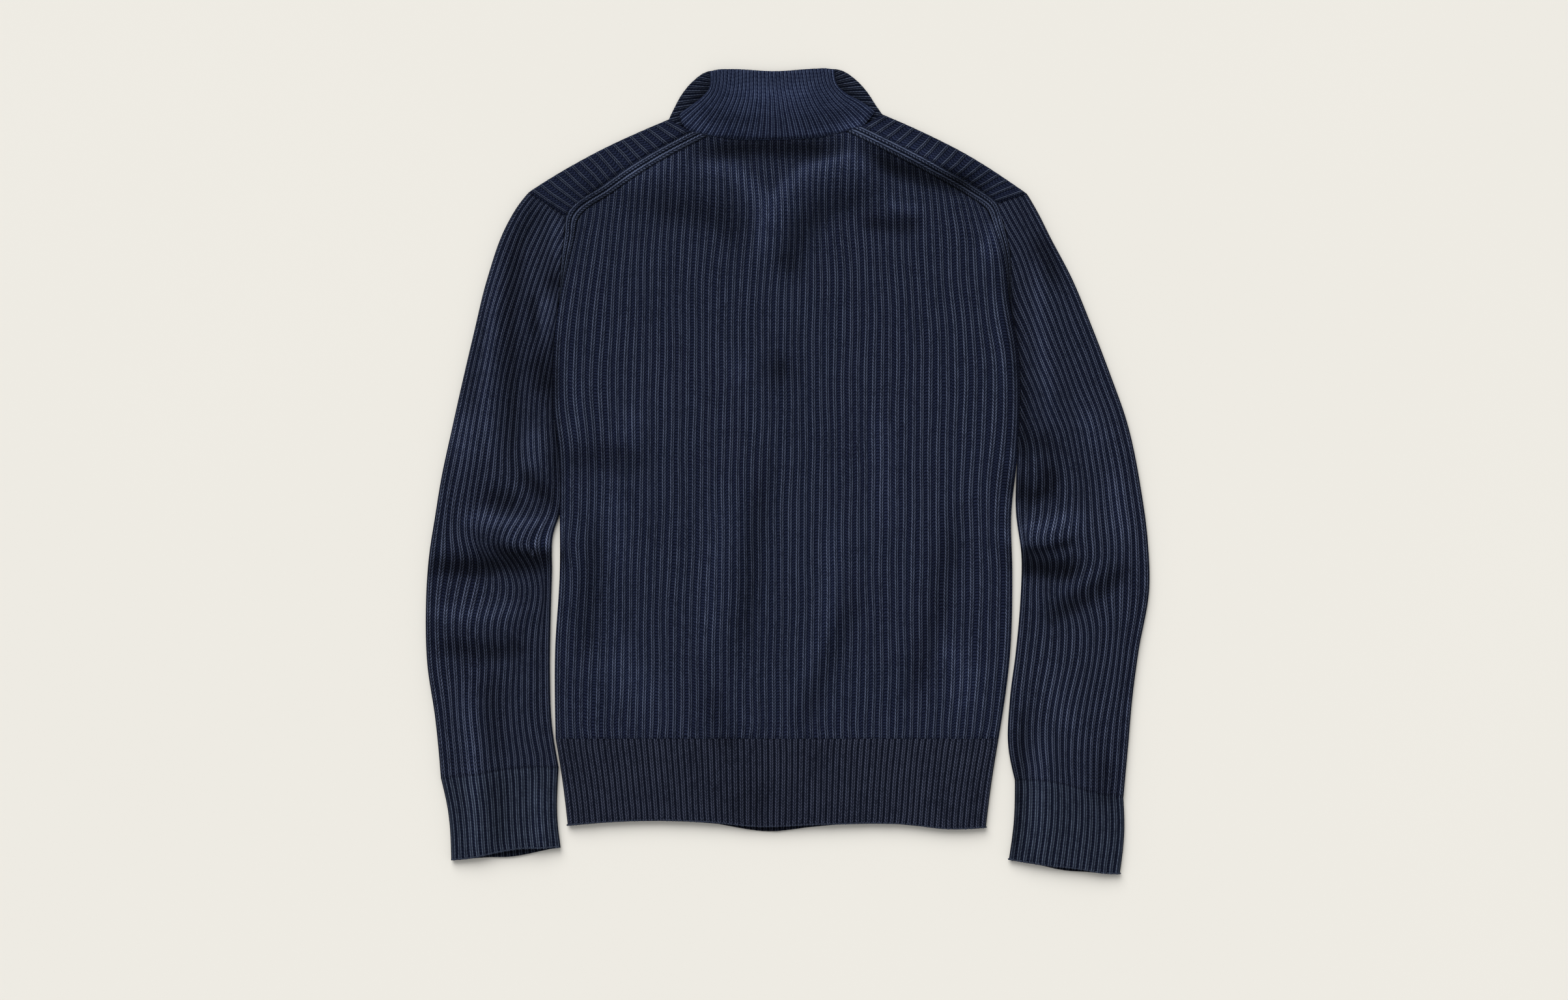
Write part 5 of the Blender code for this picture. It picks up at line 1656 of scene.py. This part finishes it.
@dataclass
class Shoulders:
    """The front's shoulder extensions, which wrap over onto the back."""

    rib: bpy.types.Material
    lift: float = 1.3
    crest: float = 0.40
    rows: int = 16
    marks: tuple[float, ...] = (0.0, 0.15, 0.3, 0.36, 0.43, 0.5, 0.57, 0.64, 0.7, 0.85)

    def seam_shares(self, shares: np.ndarray) -> np.ndarray:
        """Gives where along the fold a slanted rib starts that meets the seam.

        Args:
            shares: Shares of the way along the seam.

        Returns:
            Shares of the way along the fold.
        """
        fold_share = np.linspace(0.0, 1.0, 201)
        seam_share = fold_share + SHOULDER_SLANT * np.sin(np.pi * fold_share)
        return np.interp(shares, seam_share, fold_share)

    def make(self, name: str, node: str, fold: Edge, seam: Edge, seed: float) -> None:
        """Makes one shoulder between its fold and its seam with the back.

        Args:
            name: The piece's name.
            node: The solid it stands for.
            fold: The folded upper edge in plan.
            seam: The seam with the back.
            seed: Sets the unevenness of its ribs.
        """
        plan = Patch(
            fold,
            Edge(seam.points, self.seam_shares(seam.shares)),
            Edge([fold.points[0], seam.points[0]]),
            Edge([fold.points[-1], seam.points[-1]]),
        )
        piece = KnitPiece(
            name, plan, SHOULDER_RIBS, self.lift, self.crest, self.rows,
            folded=(Side.START,),
            dips={Side.END: (1.5, 2.4), Side.LEFT: (1.2, 2.0), Side.RIGHT: (0.9, 1.6)},
            marks=self.marks,
        )
        shell = Shell()
        piece.add_panel(shell, inner_count=12)
        made = piece.finish(shell, self.rib, seed)
        lay(made, node, piece.plan_area())

    def build(self) -> None:
        """Makes both shoulders."""
        self.make("shoulder_left", "left_shoulder",
                  Edge(LEFT_SHOULDER_FOLD), Edge(LEFT_SHOULDER_SEAM[::-1]), 3.0)
        self.make("shoulder_right", "right_shoulder",
                  Edge(RIGHT_SHOULDER_FOLD), Edge(RIGHT_SHOULDER_SEAM), 4.0)


@dataclass
class Sleeves:
    """The two sleeves, as flattened tubes of wide rib."""

    rib: bpy.types.Material
    lift: float = 1.8
    crest: float = 0.54
    rows: int = 110

    def make(self, name: str, node: str, plan: SleevePlan, length: float, seed: float) -> None:
        """Makes one sleeve.

        Args:
            name: The piece's name.
            node: The solid it stands for.
            plan: Its plan.
            length: The length of its cut in metres; not used.
            seed: Sets the unevenness of its ribs.
        """
        piece = KnitPiece(
            name, plan, SLEEVE_RIBS, self.lift, self.crest, self.rows,
            folded=(Side.LEFT, Side.RIGHT),
            dips={Side.START: (1.5, 2.2), Side.END: (0.7, 2.0)},
            loft_rise=0.7,
        )
        shell = Shell()
        piece.add_tube(shell)
        made = piece.finish(shell, self.rib, seed)
        area = 2 * piece.plan_area()
        lay(made, node, area)

    def build(self) -> None:
        """Makes both sleeves."""
        left = SleevePlan(LEFT_SLEEVE, LEFT_SEAM_ROW, LEFT_WRIST)
        right = SleevePlan(RIGHT_SLEEVE, RIGHT_SEAM_ROW, RIGHT_WRIST)
        self.make("sleeve_left", "left_sleeve", left, 0.60, 5.0)
        self.make("sleeve_right", "right_sleeve", right, 0.61, 6.0)


@dataclass
class Bands:
    """The cuffs and the hem band, as flattened tubes of finer rib."""

    cuff_rib: bpy.types.Material
    hem_rib: bpy.types.Material
    lift: float = 1.25
    crest: float = 0.74
    rows: int = 20
    cuff_gape: float = 1.2
    hem_gape: float = 0.3
    marks: tuple[float, ...] = (0.0, 0.13, 0.22, 0.35, 0.5, 0.65, 0.78, 0.87)

    def tube(self, name: str, node: str, plan: Patch, ribs: int, rib: bpy.types.Material,
             seed: float,
             peek: tuple[float, float, float], gape: float) -> None:
        """Makes one band.

        Args:
            name: The piece's name.
            node: The solid it stands for.
            plan: Its plan.
            ribs: How many ribs cross its upper layer.
            rib: Its material.
            seed: Sets the unevenness of its ribs.
            peek: How far its lower layer shows past the upper one, where, and how widely.
            gape: How far its mouth is open there.
        """
        piece = KnitPiece(
            name, plan, ribs, self.lift, self.crest, self.rows,
            folded=(Side.LEFT, Side.RIGHT),
            dips={Side.START: (0.5, 1.8)},
            marks=self.marks,
            drape=Drape(wobble=0.5, calm=10.0),
            downward=True,
        )
        shell = Shell()
        piece.add_tube(shell, peek=peek, gape=gape)
        made = piece.finish(shell, rib, seed)
        lay(made, node, 2 * piece.plan_area())

    def build(self) -> None:
        """Makes both cuffs and the hem band."""
        left = Patch(Edge(LEFT_WRIST), Edge(LEFT_CUFF_END), Edge(LEFT_CUFF_OUTER),
                     Edge(LEFT_CUFF_INNER))
        right = Patch(Edge(RIGHT_WRIST), Edge(RIGHT_CUFF_END), Edge(RIGHT_CUFF_OUTER),
                      Edge(RIGHT_CUFF_INNER))
        hem = Patch(Edge([HEM_LEFT[0], HEM_RIGHT[0]]), Edge(HEM_END), Edge(HEM_LEFT),
                    Edge(HEM_RIGHT))
        cuff, cuff_cut = self.cuff_rib, (0.236, 0.084)
        self.tube("cuff_left", "left_cuff", left, CUFF_RIBS, cuff, 7.0,
                  LEFT_CUFF_MOUTH, self.cuff_gape)
        self.tube("cuff_right", "right_cuff", right, CUFF_RIBS, cuff, 8.0,
                  RIGHT_CUFF_MOUTH, self.cuff_gape)
        self.tube("hem", "hem_band", hem, HEM_RIBS, self.hem_rib, 9.0,
                  HEM_MOUTH, self.hem_gape)


@dataclass
class Collar:
    """The stand collar: its back, which shows, and its two fronts under it."""

    rib: bpy.types.Material
    inside: bpy.types.Material
    lift: float = 1.2
    crest: float = 0.72
    rows: int = 20
    front_lift: float = 1.1
    front_crest: float = 0.5
    front_rows: int = 16
    marks: tuple[float, ...] = (0.0, 0.14, 0.23, 0.35, 0.5, 0.65, 0.77, 0.86)

    def make_back(self) -> None:
        """Makes the back, whose ribs fan out from its folded top to the neck seam."""
        foot, right = Edge(COLLAR_FOOT), Edge(COLLAR_RIGHT)
        right.points[0] = foot.points[-1]
        plan = Patch(foot, Edge(COLLAR_TOP), Edge(COLLAR_LEFT), right)
        piece = KnitPiece(
            "collar_back_rib", plan, COLLAR_RIBS, self.lift, self.crest, self.rows,
            folded=(Side.LEFT, Side.RIGHT, Side.END),
            dips={Side.START: (1.3, 2.2)},
            marks=self.marks,
            drape=Drape(wobble=0.4, calm=8.0),
        )
        shell = Shell()
        piece.add_panel(shell, inner_count=20)
        made = piece.finish(shell, self.rib, 10.0)
        lay(made, "collar_back", piece.plan_area())

    def make_front(self, name: str, node: str, ear: list, neckline: list, far_edge: list,
                   seed: float) -> None:
        """Makes one front, whose inner face shows as the ear beside the back.

        Args:
            name: The piece's name.
            node: The solid it stands for.
            ear: The outline that shows.
            neckline: Its seam with the front panel.
            far_edge: Its upper edge, under the back.
            seed: Sets the unevenness of its ribs.
        """
        outline = ear[:-1] + neckline
        plan = Patch(
            Edge(outline),
            Edge(far_edge),
            Edge([outline[0], far_edge[0]]),
            Edge([outline[-1], far_edge[-1]]),
        )
        piece = KnitPiece(
            name, plan, COLLAR_RIBS, self.front_lift, self.front_crest, self.front_rows,
            marks=self.marks, drape=Drape(wobble=0.0), downward=True,
        )
        shell = Shell()
        piece.add_ribbed_both(shell)
        made = piece.finish(shell, self.inside, seed)
        lay(made, node, piece.plan_area())

    def build(self) -> None:
        """Makes the collar's three parts."""
        self.make_back()
        self.make_front("collar_inner_left", "collar_front_left", LEFT_EAR, LEFT_NECKLINE,
                        LEFT_FAR_EDGE, 11.0)
        self.make_front("collar_inner_right", "collar_front_right", RIGHT_EAR, RIGHT_NECKLINE,
                        RIGHT_FAR_EDGE, 12.0)


@dataclass
class Loops:
    """Rows of yarn loops along a seam or an edge, laid on the pieces below them."""

    yarn: bpy.types.Material
    slot: str
    length: float = 2.5
    width: float = 1.5

    def loop(self) -> bpy.types.Object:
        """Makes one loop, a plump bead of yarn."""
        body = bmesh.new()
        bmesh.ops.create_uvsphere(body, u_segments=6, v_segments=5, radius=0.5)
        for vertex in body.verts:
            x, y, z = vertex.co
            vertex.co = Vector((x * self.length, y * self.width, z * self.width)) * MM
        return linked("loop", as_mesh("loop", body))

    def tree(self, name: str, loop: bpy.types.Object,
             grounds: list[bpy.types.Object]) -> bpy.types.NodeTree:
        """Builds the tree that sets loops along lines, each lowered on to the ground.

        Args:
            name: The tree's name.
            loop: The loop that is repeated.
            grounds: The pieces that the loops may lie on.

        Returns:
            The tree.
        """
        kinds = {"Pitch": "Float", "Raise": "Float", "Slant": "Float", "Seed": "Int"}
        w, given = start_tree(name, kinds)
        line = w.add("GeometryNodeMeshToCurve", {0: given.outputs["Geometry"]})
        spaced = w.add("GeometryNodeResampleCurve", mode="LENGTH")
        w.join(line.outputs[0], spaced.inputs["Curve"])
        w.join(given.outputs["Pitch"], spaced.inputs["Length"])
        ground = w.add("GeometryNodeJoinGeometry")
        for piece in grounds:
            source = w.add("GeometryNodeObjectInfo", {"Object": piece})
            w.join(source.outputs["Geometry"], ground.inputs[0])
        ray = w.add("GeometryNodeRaycast", {
            "Target Geometry": ground.outputs[0],
            "Ray Direction": (0.0, 0.0, -1.0),
            "Ray Length": 0.2,
        })
        missed = w.math("LESS_THAN", ray.outputs["Is Hit"], 0.5)
        over = w.add("GeometryNodeDeleteGeometry",
                     {"Geometry": spaced.outputs[0], "Selection": missed}, domain="POINT")
        place = w.vector(
            "ADD", {0: ray.outputs["Hit Position"], 1: w.xyz(z=given.outputs["Raise"])}
        )
        laid = w.add("GeometryNodeSetPosition", {"Geometry": over.outputs[0], "Position": place})
        tangent = w.add("GeometryNodeInputTangent").outputs[0]
        turn = w.add("FunctionNodeAlignRotationToVector", {"Vector": tangent}, axis="X")
        skew = w.xyz(z=given.outputs["Slant"])
        turned = w.add("FunctionNodeRotateRotation", {0: turn.outputs[0], 1: skew},
                       rotation_space="LOCAL")
        smallest, largest = 0.82, 1.12
        uneven = w.add("FunctionNodeRandomValue",
                       {2: smallest, 3: largest, "Seed": given.outputs["Seed"]},
                       data_type="FLOAT")
        source = w.add("GeometryNodeObjectInfo", {"Object": loop})
        copies = w.add("GeometryNodeInstanceOnPoints", {
            "Points": laid.outputs[0],
            "Instance": source.outputs["Geometry"],
            "Rotation": turned.outputs[0],
            "Scale": uneven.outputs[1],
        })
        return w.hand_over(copies.outputs[0], given.outputs["Material"])

    def sew(self, name: str, lines: list[Edge], grounds: list[str], pitch: float,
            lift: float, slant: float, seed: int) -> None:
        """Makes the rows as one piece.

        Args:
            name: The piece's name.
            lines: Where the rows run in plan.
            grounds: The names of the pieces below them.
            pitch: How far apart the loops are.
            lift: How far their middles are above the ground.
            slant: How far each is turned from the row, in degrees.
            seed: Sets their uneven sizes.
        """
        points, edges = [], []
        for line in lines:
            first = len(points)
            points += [(x * MM, y * MM, 0.05) for x, y in line.at(np.linspace(0.0, 1.0, 60))]
            edges += [(i, i + 1) for i in range(first, len(points) - 1)]
        mesh = bpy.data.meshes.new(name)
        mesh.from_pydata(points, edges, [])
        piece, loop = linked(name, mesh), self.loop()
        apply_tree(
            piece,
            self.tree(name, loop, [bpy.data.objects[ground] for ground in grounds]),
            Pitch=pitch * MM,
            Raise=lift * MM,
            Slant=math.radians(slant),
            Seed=seed,
            Material=self.yarn,
        )
        bpy.data.objects.remove(loop)
        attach(piece, "garment")
        LOG.info("%s: %d faces", name, len(piece.data.polygons))


@dataclass(frozen=True)
class PlainFinish:
    """A woven or metal finish on Object coordinates for the zip's small parts."""

    name: str
    colour: tuple[float, float, float]
    roughness: float
    metallic: float
    grain: float
    depth: float

    def material(self) -> bpy.types.Material:
        """Builds the material: its colour and relief vary with a fine grain."""
        finish, w, shader = start_finish(self.name, self.roughness)
        gloss = 0.5 if self.metallic else YARN_GLOSS
        shader.inputs["Metallic"].default_value = self.metallic
        shader.inputs["Specular IOR Level"].default_value = gloss
        speckle = w.noise(w.own_place(), self.grain, 3.0)
        dark = tuple(0.6 * part for part in self.colour)
        w.join(w.blend(speckle, (*dark, 1.0), (*self.colour, 1.0)), shader.inputs["Base Color"])
        rough = w.math("MULTIPLY_ADD", speckle, 0.3, self.roughness - 0.15)
        w.join(rough, shader.inputs["Roughness"])
        w.emboss(shader, speckle, self.depth)
        return finish


@dataclass(frozen=True)
class TapeFinish:
    """The zip tape's narrow woven ribs, along X and Y."""

    name: str = "zip_tape_weave"
    thread: float = 0.55
    dark: tuple[float, float, float] = (0.008, 0.011, 0.024)
    pale: tuple[float, float, float] = (0.03, 0.042, 0.08)

    def material(self) -> bpy.types.Material:
        """Builds the material from crossed waves on Object coordinates."""
        finish, w, shader = start_finish(self.name, 0.85)
        x, y, _ = w.add("ShaderNodeSeparateXYZ", {0: w.own_place()}).outputs
        turns = 2 * math.pi / (self.thread * MM)
        warp = w.math("SINE", w.math("MULTIPLY", x, turns))
        weft = w.math("SINE", w.math("MULTIPLY", y, turns * 0.8))
        weave = w.math("MULTIPLY_ADD", w.math("MULTIPLY", warp, weft), 0.5, 0.5)
        colour = w.blend(weave, (*self.dark, 1.0), (*self.pale, 1.0))
        w.join(colour, shader.inputs["Base Color"])
        w.emboss(shader, weave, 0.15)
        return finish


@dataclass
class Zip:
    """The zip's metal parts and tapes, with real teeth in place of the plain chain."""

    metal: bpy.types.Material
    tape: bpy.types.Material
    pitch: float = 2.4
    low: float = 50.4
    high: float = 305.0
    height: float = 4.3
    reach: float = 1.25

    def tooth(self) -> bpy.types.Object:
        """Makes one tooth as a small rounded block with a nib."""
        body = bmesh.new()
        outline = [(-1.9, -0.5), (-1.9, 0.5), (0.4, 0.62), (1.0, 0.95), (1.7, 0.6), (1.9, 0.0),
                   (1.7, -0.6), (1.0, -0.95), (0.4, -0.62)]
        rings = []
        for z, scale in ((-0.85, 0.82), (-0.6, 1.0), (0.6, 1.0), (0.85, 0.82)):
            rings.append([
                body.verts.new(Vector((x * scale, y * scale, z)) * MM) for x, y in outline
            ])
        for near, far in zip(rings, rings[1:]):
            for i in range(len(outline)):
                j = (i + 1) % len(outline)
                body.faces.new((near[i], near[j], far[j], far[i]))
        body.faces.new(rings[0][::-1])
        body.faces.new(rings[-1])
        bmesh.ops.recalc_face_normals(body, faces=body.faces)
        return linked("tooth", as_mesh("tooth", body))

    def tree(self, tooth: bpy.types.Object) -> bpy.types.NodeTree:
        """Builds the tree that sets teeth along both sides of the closed zip.

        Args:
            tooth: The tooth that is repeated.

        Returns:
            The tree.
        """
        kinds = {"Count": "Int", **dict.fromkeys(("Pitch", "Foot", "Centre", "Height"), "Float")}
        w, given = start_tree("zip_teeth", kinds)
        source = w.add("GeometryNodeObjectInfo", {"Object": tooth})
        joined = w.add("GeometryNodeJoinGeometry")
        for side, turn in ((-1.0, 0.0), (1.0, math.pi)):
            shift = w.math("MULTIPLY", given.outputs["Pitch"], 0.5 if side > 0 else 0.0)
            start = w.xyz(
                w.math("ADD", given.outputs["Centre"], side * self.reach * MM),
                w.math("ADD", given.outputs["Foot"], shift),
                given.outputs["Height"],
            )
            line = w.add("GeometryNodeMeshLine", mode="OFFSET")
            w.join(given.outputs["Count"], line.inputs["Count"])
            w.join(start, line.inputs["Start Location"])
            w.join(w.xyz(y=given.outputs["Pitch"]), line.inputs["Offset"])
            copies = w.add("GeometryNodeInstanceOnPoints", {
                "Points": line.outputs[0],
                "Instance": source.outputs["Geometry"],
                "Rotation": (0.0, 0.0, turn),
            })
            w.join(copies.outputs[0], joined.inputs[0])
        return w.hand_over(joined.outputs[0], given.outputs["Material"])

    def build(self) -> None:
        """Makes the teeth and dresses the carried-over parts."""
        tooth = self.tooth()
        teeth = linked("zip_teeth", bpy.data.meshes.new("zip_teeth"))
        apply_tree(
            teeth,
            self.tree(tooth),
            Count=int((self.high - self.low) / self.pitch),
            Pitch=self.pitch * MM,
            Foot=(self.low + 0.6) * MM,
            Centre=CENTRE_X * MM,
            Height=self.height * MM,
            Material=self.metal,
        )
        bpy.data.objects.remove(tooth)
        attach(teeth, "garment")
        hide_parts("zip_chain")
        LOG.info("zip_teeth: %d faces", len(teeth.data.polygons))
        tapes = dict.fromkeys(("zip_tape_left", "zip_tape_right"), self.tape)
        metals = dict.fromkeys(("zip_slider", "zip_pull", "zip_bottom_stop"), self.metal)
        for node, finish in {**tapes, **metals}.items():
            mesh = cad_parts[node].data
            mesh.materials.clear()
            mesh.materials.append(finish)


@dataclass
class Studio:
    """The plain pale floor, the soft light from above the collar, and the camera."""

    middle: tuple[float, float] = (-0.0032, -0.0282)
    height: float = 3.425
    lens: float = 80.0
    floor_half: float = 6.0
    floor_height: float = -0.0002
    floor_tones: tuple = ((0.795, 0.778, 0.736, 1.0), (0.812, 0.795, 0.752, 1.0))
    light_from: tuple[float, float, float] = (-0.40, 1.00, 0.98)
    light_strength: float = 2.62
    light_spread: float = 52.0
    light_tint: tuple[float, float, float] = (1.0, 0.99, 0.965)
    sky_tint: tuple[float, float, float, float] = (1.0, 0.995, 0.975, 1.0)
    sky_strength: float = 0.50

    def floor(self) -> None:
        """Makes the pale floor."""
        finish, w, shader = start_finish("pale_floor", 0.9)
        speckle = w.noise(w.own_place(), 2.0, 2.0)
        w.join(w.blend(speckle, *self.floor_tones), shader.inputs["Base Color"])
        mesh = bpy.data.meshes.new("floor")
        corners = ((-1, -1), (1, -1), (1, 1), (-1, 1))
        points = [(x * self.floor_half, y * self.floor_half, self.floor_height)
                  for x, y in corners]
        mesh.from_pydata(points, [], [(0, 1, 2, 3)])
        mesh.materials.append(finish)
        linked("floor", mesh)

    def light(self) -> None:
        """Adds the soft light from far away, which falls evenly on the floor."""
        data = bpy.data.lights.new("key", "SUN")
        data.energy, data.color = self.light_strength, self.light_tint
        data.angle = math.radians(self.light_spread)
        lamp = linked("key", data)
        lamp.location = self.light_from
        lamp.rotation_euler = (-Vector(self.light_from)).to_track_quat("-Z", "Y").to_euler()

    def camera(self) -> None:
        """Hangs the camera straight above, level with the photograph's frame."""
        data = bpy.data.cameras.new("camera")
        data.lens, data.sensor_width = self.lens, 36.0
        made = linked("camera", data)
        made.location = (*self.middle, self.height)
        bpy.context.scene.camera = made

    def build(self) -> None:
        """Sets the floor, the light, the sky and the camera."""
        self.floor()
        self.light()
        world = bpy.data.worlds.new("studio")
        world.use_nodes = True
        sky = world.node_tree.nodes["Background"]
        sky.inputs[0].default_value, sky.inputs[1].default_value = self.sky_tint, self.sky_strength
        bpy.context.scene.world = world
        settings = bpy.context.scene.view_settings
        settings.view_transform, settings.look = "Standard", "None"
        settings.exposure, settings.gamma = 0.0, 1.0
        self.camera()


class Knit(Enum):
    """The finishes of the knit, by the pieces that have them."""

    WIDE = KnitFinish(
        "washed_wide_rib", 0.50, (0.089, 0.111, 0.183), (0.0016, 0.0028, 0.0098),
    )
    SLEEVE = KnitFinish(
        "washed_sleeve_rib", 0.56, (0.096, 0.118, 0.194), (0.0014, 0.0024, 0.0080),
        knot=(0.0105, 0.0145, 0.0340),
    )
    BAND = KnitFinish(
        "fashioned_band", 0.56, (0.092, 0.116, 0.192), (0.0016, 0.0027, 0.0085),
        knot=(0.005, 0.0075, 0.018),
    )
    SHOULDER = KnitFinish(
        "washed_shoulder_rib", 0.34, (0.088, 0.110, 0.176), (0.0018, 0.0030, 0.0100), wear_and_shading=0.95,
    )
    COLLAR = KnitFinish(
        "faded_collar_rib", 0.62, (0.103, 0.136, 0.240), (0.0022, 0.0042, 0.0185),
        stitch_depth=0.7, slant=0.8, beading=0.55, bow=0.72, stroke=0.30, middle=0.10,
    )
    CUFF = KnitFinish(
        "faded_cuff_rib", 0.60, (0.086, 0.110, 0.166), (0.0020, 0.0033, 0.0098),
        knot=(0.007, 0.0100, 0.0240),
        stitch_depth=0.7, slant=1.0, beading=0.6, bow=0.68, stroke=0.32, middle=0.12,
    )
    HEM = KnitFinish(
        "hem_rib", 0.70, (0.060, 0.071, 0.116), (0.0014, 0.0025, 0.0075),
        knot=(0.006, 0.0085, 0.020), stitch_depth=0.7, slant=1.1, beading=0.95, middle=0.08,
    )
    COLLAR_INSIDE = KnitFinish(
        "collar_inside_rib", 0.60, (0.090, 0.112, 0.176), (0.0016, 0.0028, 0.0090), wear_and_shading=0.9,
        knot=(0.006, 0.0085, 0.020),
        stitch_depth=0.6, slant=0.8, beading=0.5, bow=0.70, stroke=0.30, middle=0.05,
    )


LINKING_YARN = PlainFinish("linking_yarn", (0.014, 0.0195, 0.042), 0.9, 0.0, 900.0, 0.12)
EDGE_YARN = PlainFinish("edge_yarn", (0.034, 0.043, 0.070), 0.9, 0.0, 900.0, 0.12)
ZIP_METAL = PlainFinish("brushed_zip_metal", (0.30, 0.29, 0.27), 0.38, 1.0, 900.0, 0.02)


def main() -> None:
    """Builds the studio, then the sweater piece by piece."""
    logging.basicConfig(level=logging.INFO, format="%(message)s")
    knit = {part: part.value.material() for part in Knit}
    Studio().build()
    Body(knit[Knit.WIDE], knit[Knit.BAND]).build()
    Shoulders(knit[Knit.SHOULDER]).build()
    Sleeves(knit[Knit.SLEEVE]).build()
    Bands(knit[Knit.CUFF], knit[Knit.HEM]).build()
    Collar(knit[Knit.COLLAR], knit[Knit.COLLAR_INSIDE]).build()
    seams = Loops(LINKING_YARN.material(), "wide_rib_knit")
    seams.sew("neck_linking", [Edge(BACK_NECK).moved(0.3)], ["back", "collar_back_rib"],
              pitch=2.6, lift=0.35, slant=32.0, seed=1)
    seams.sew("shoulder_linking",
              [Edge(LEFT_SHOULDER_SEAM), Edge(RIGHT_SHOULDER_SEAM)],
              ["back", "shoulder_left", "shoulder_right"],
              pitch=2.7, lift=0.0, slant=28.0, seed=2)
    edges = Loops(EDGE_YARN.material(), "fine_rib_knit", length=2.9, width=1.9)
    edges.sew("hem_cast_on", [Edge(HEM_END).moved(CAST_ON_INSET)], ["hem"],
              pitch=2.86, lift=0.1, slant=0.0, seed=3)
    edges.sew("cuff_cast_on",
              [Edge(LEFT_CUFF_END).moved(CAST_ON_INSET),
               Edge(RIGHT_CUFF_END).moved(-CAST_ON_INSET)],
              ["cuff_left", "cuff_right"], pitch=2.95, lift=0.1, slant=0.0, seed=4)
    Zip(ZIP_METAL.material(), TapeFinish().material()).build()


if __name__ == "__main__":
    main()
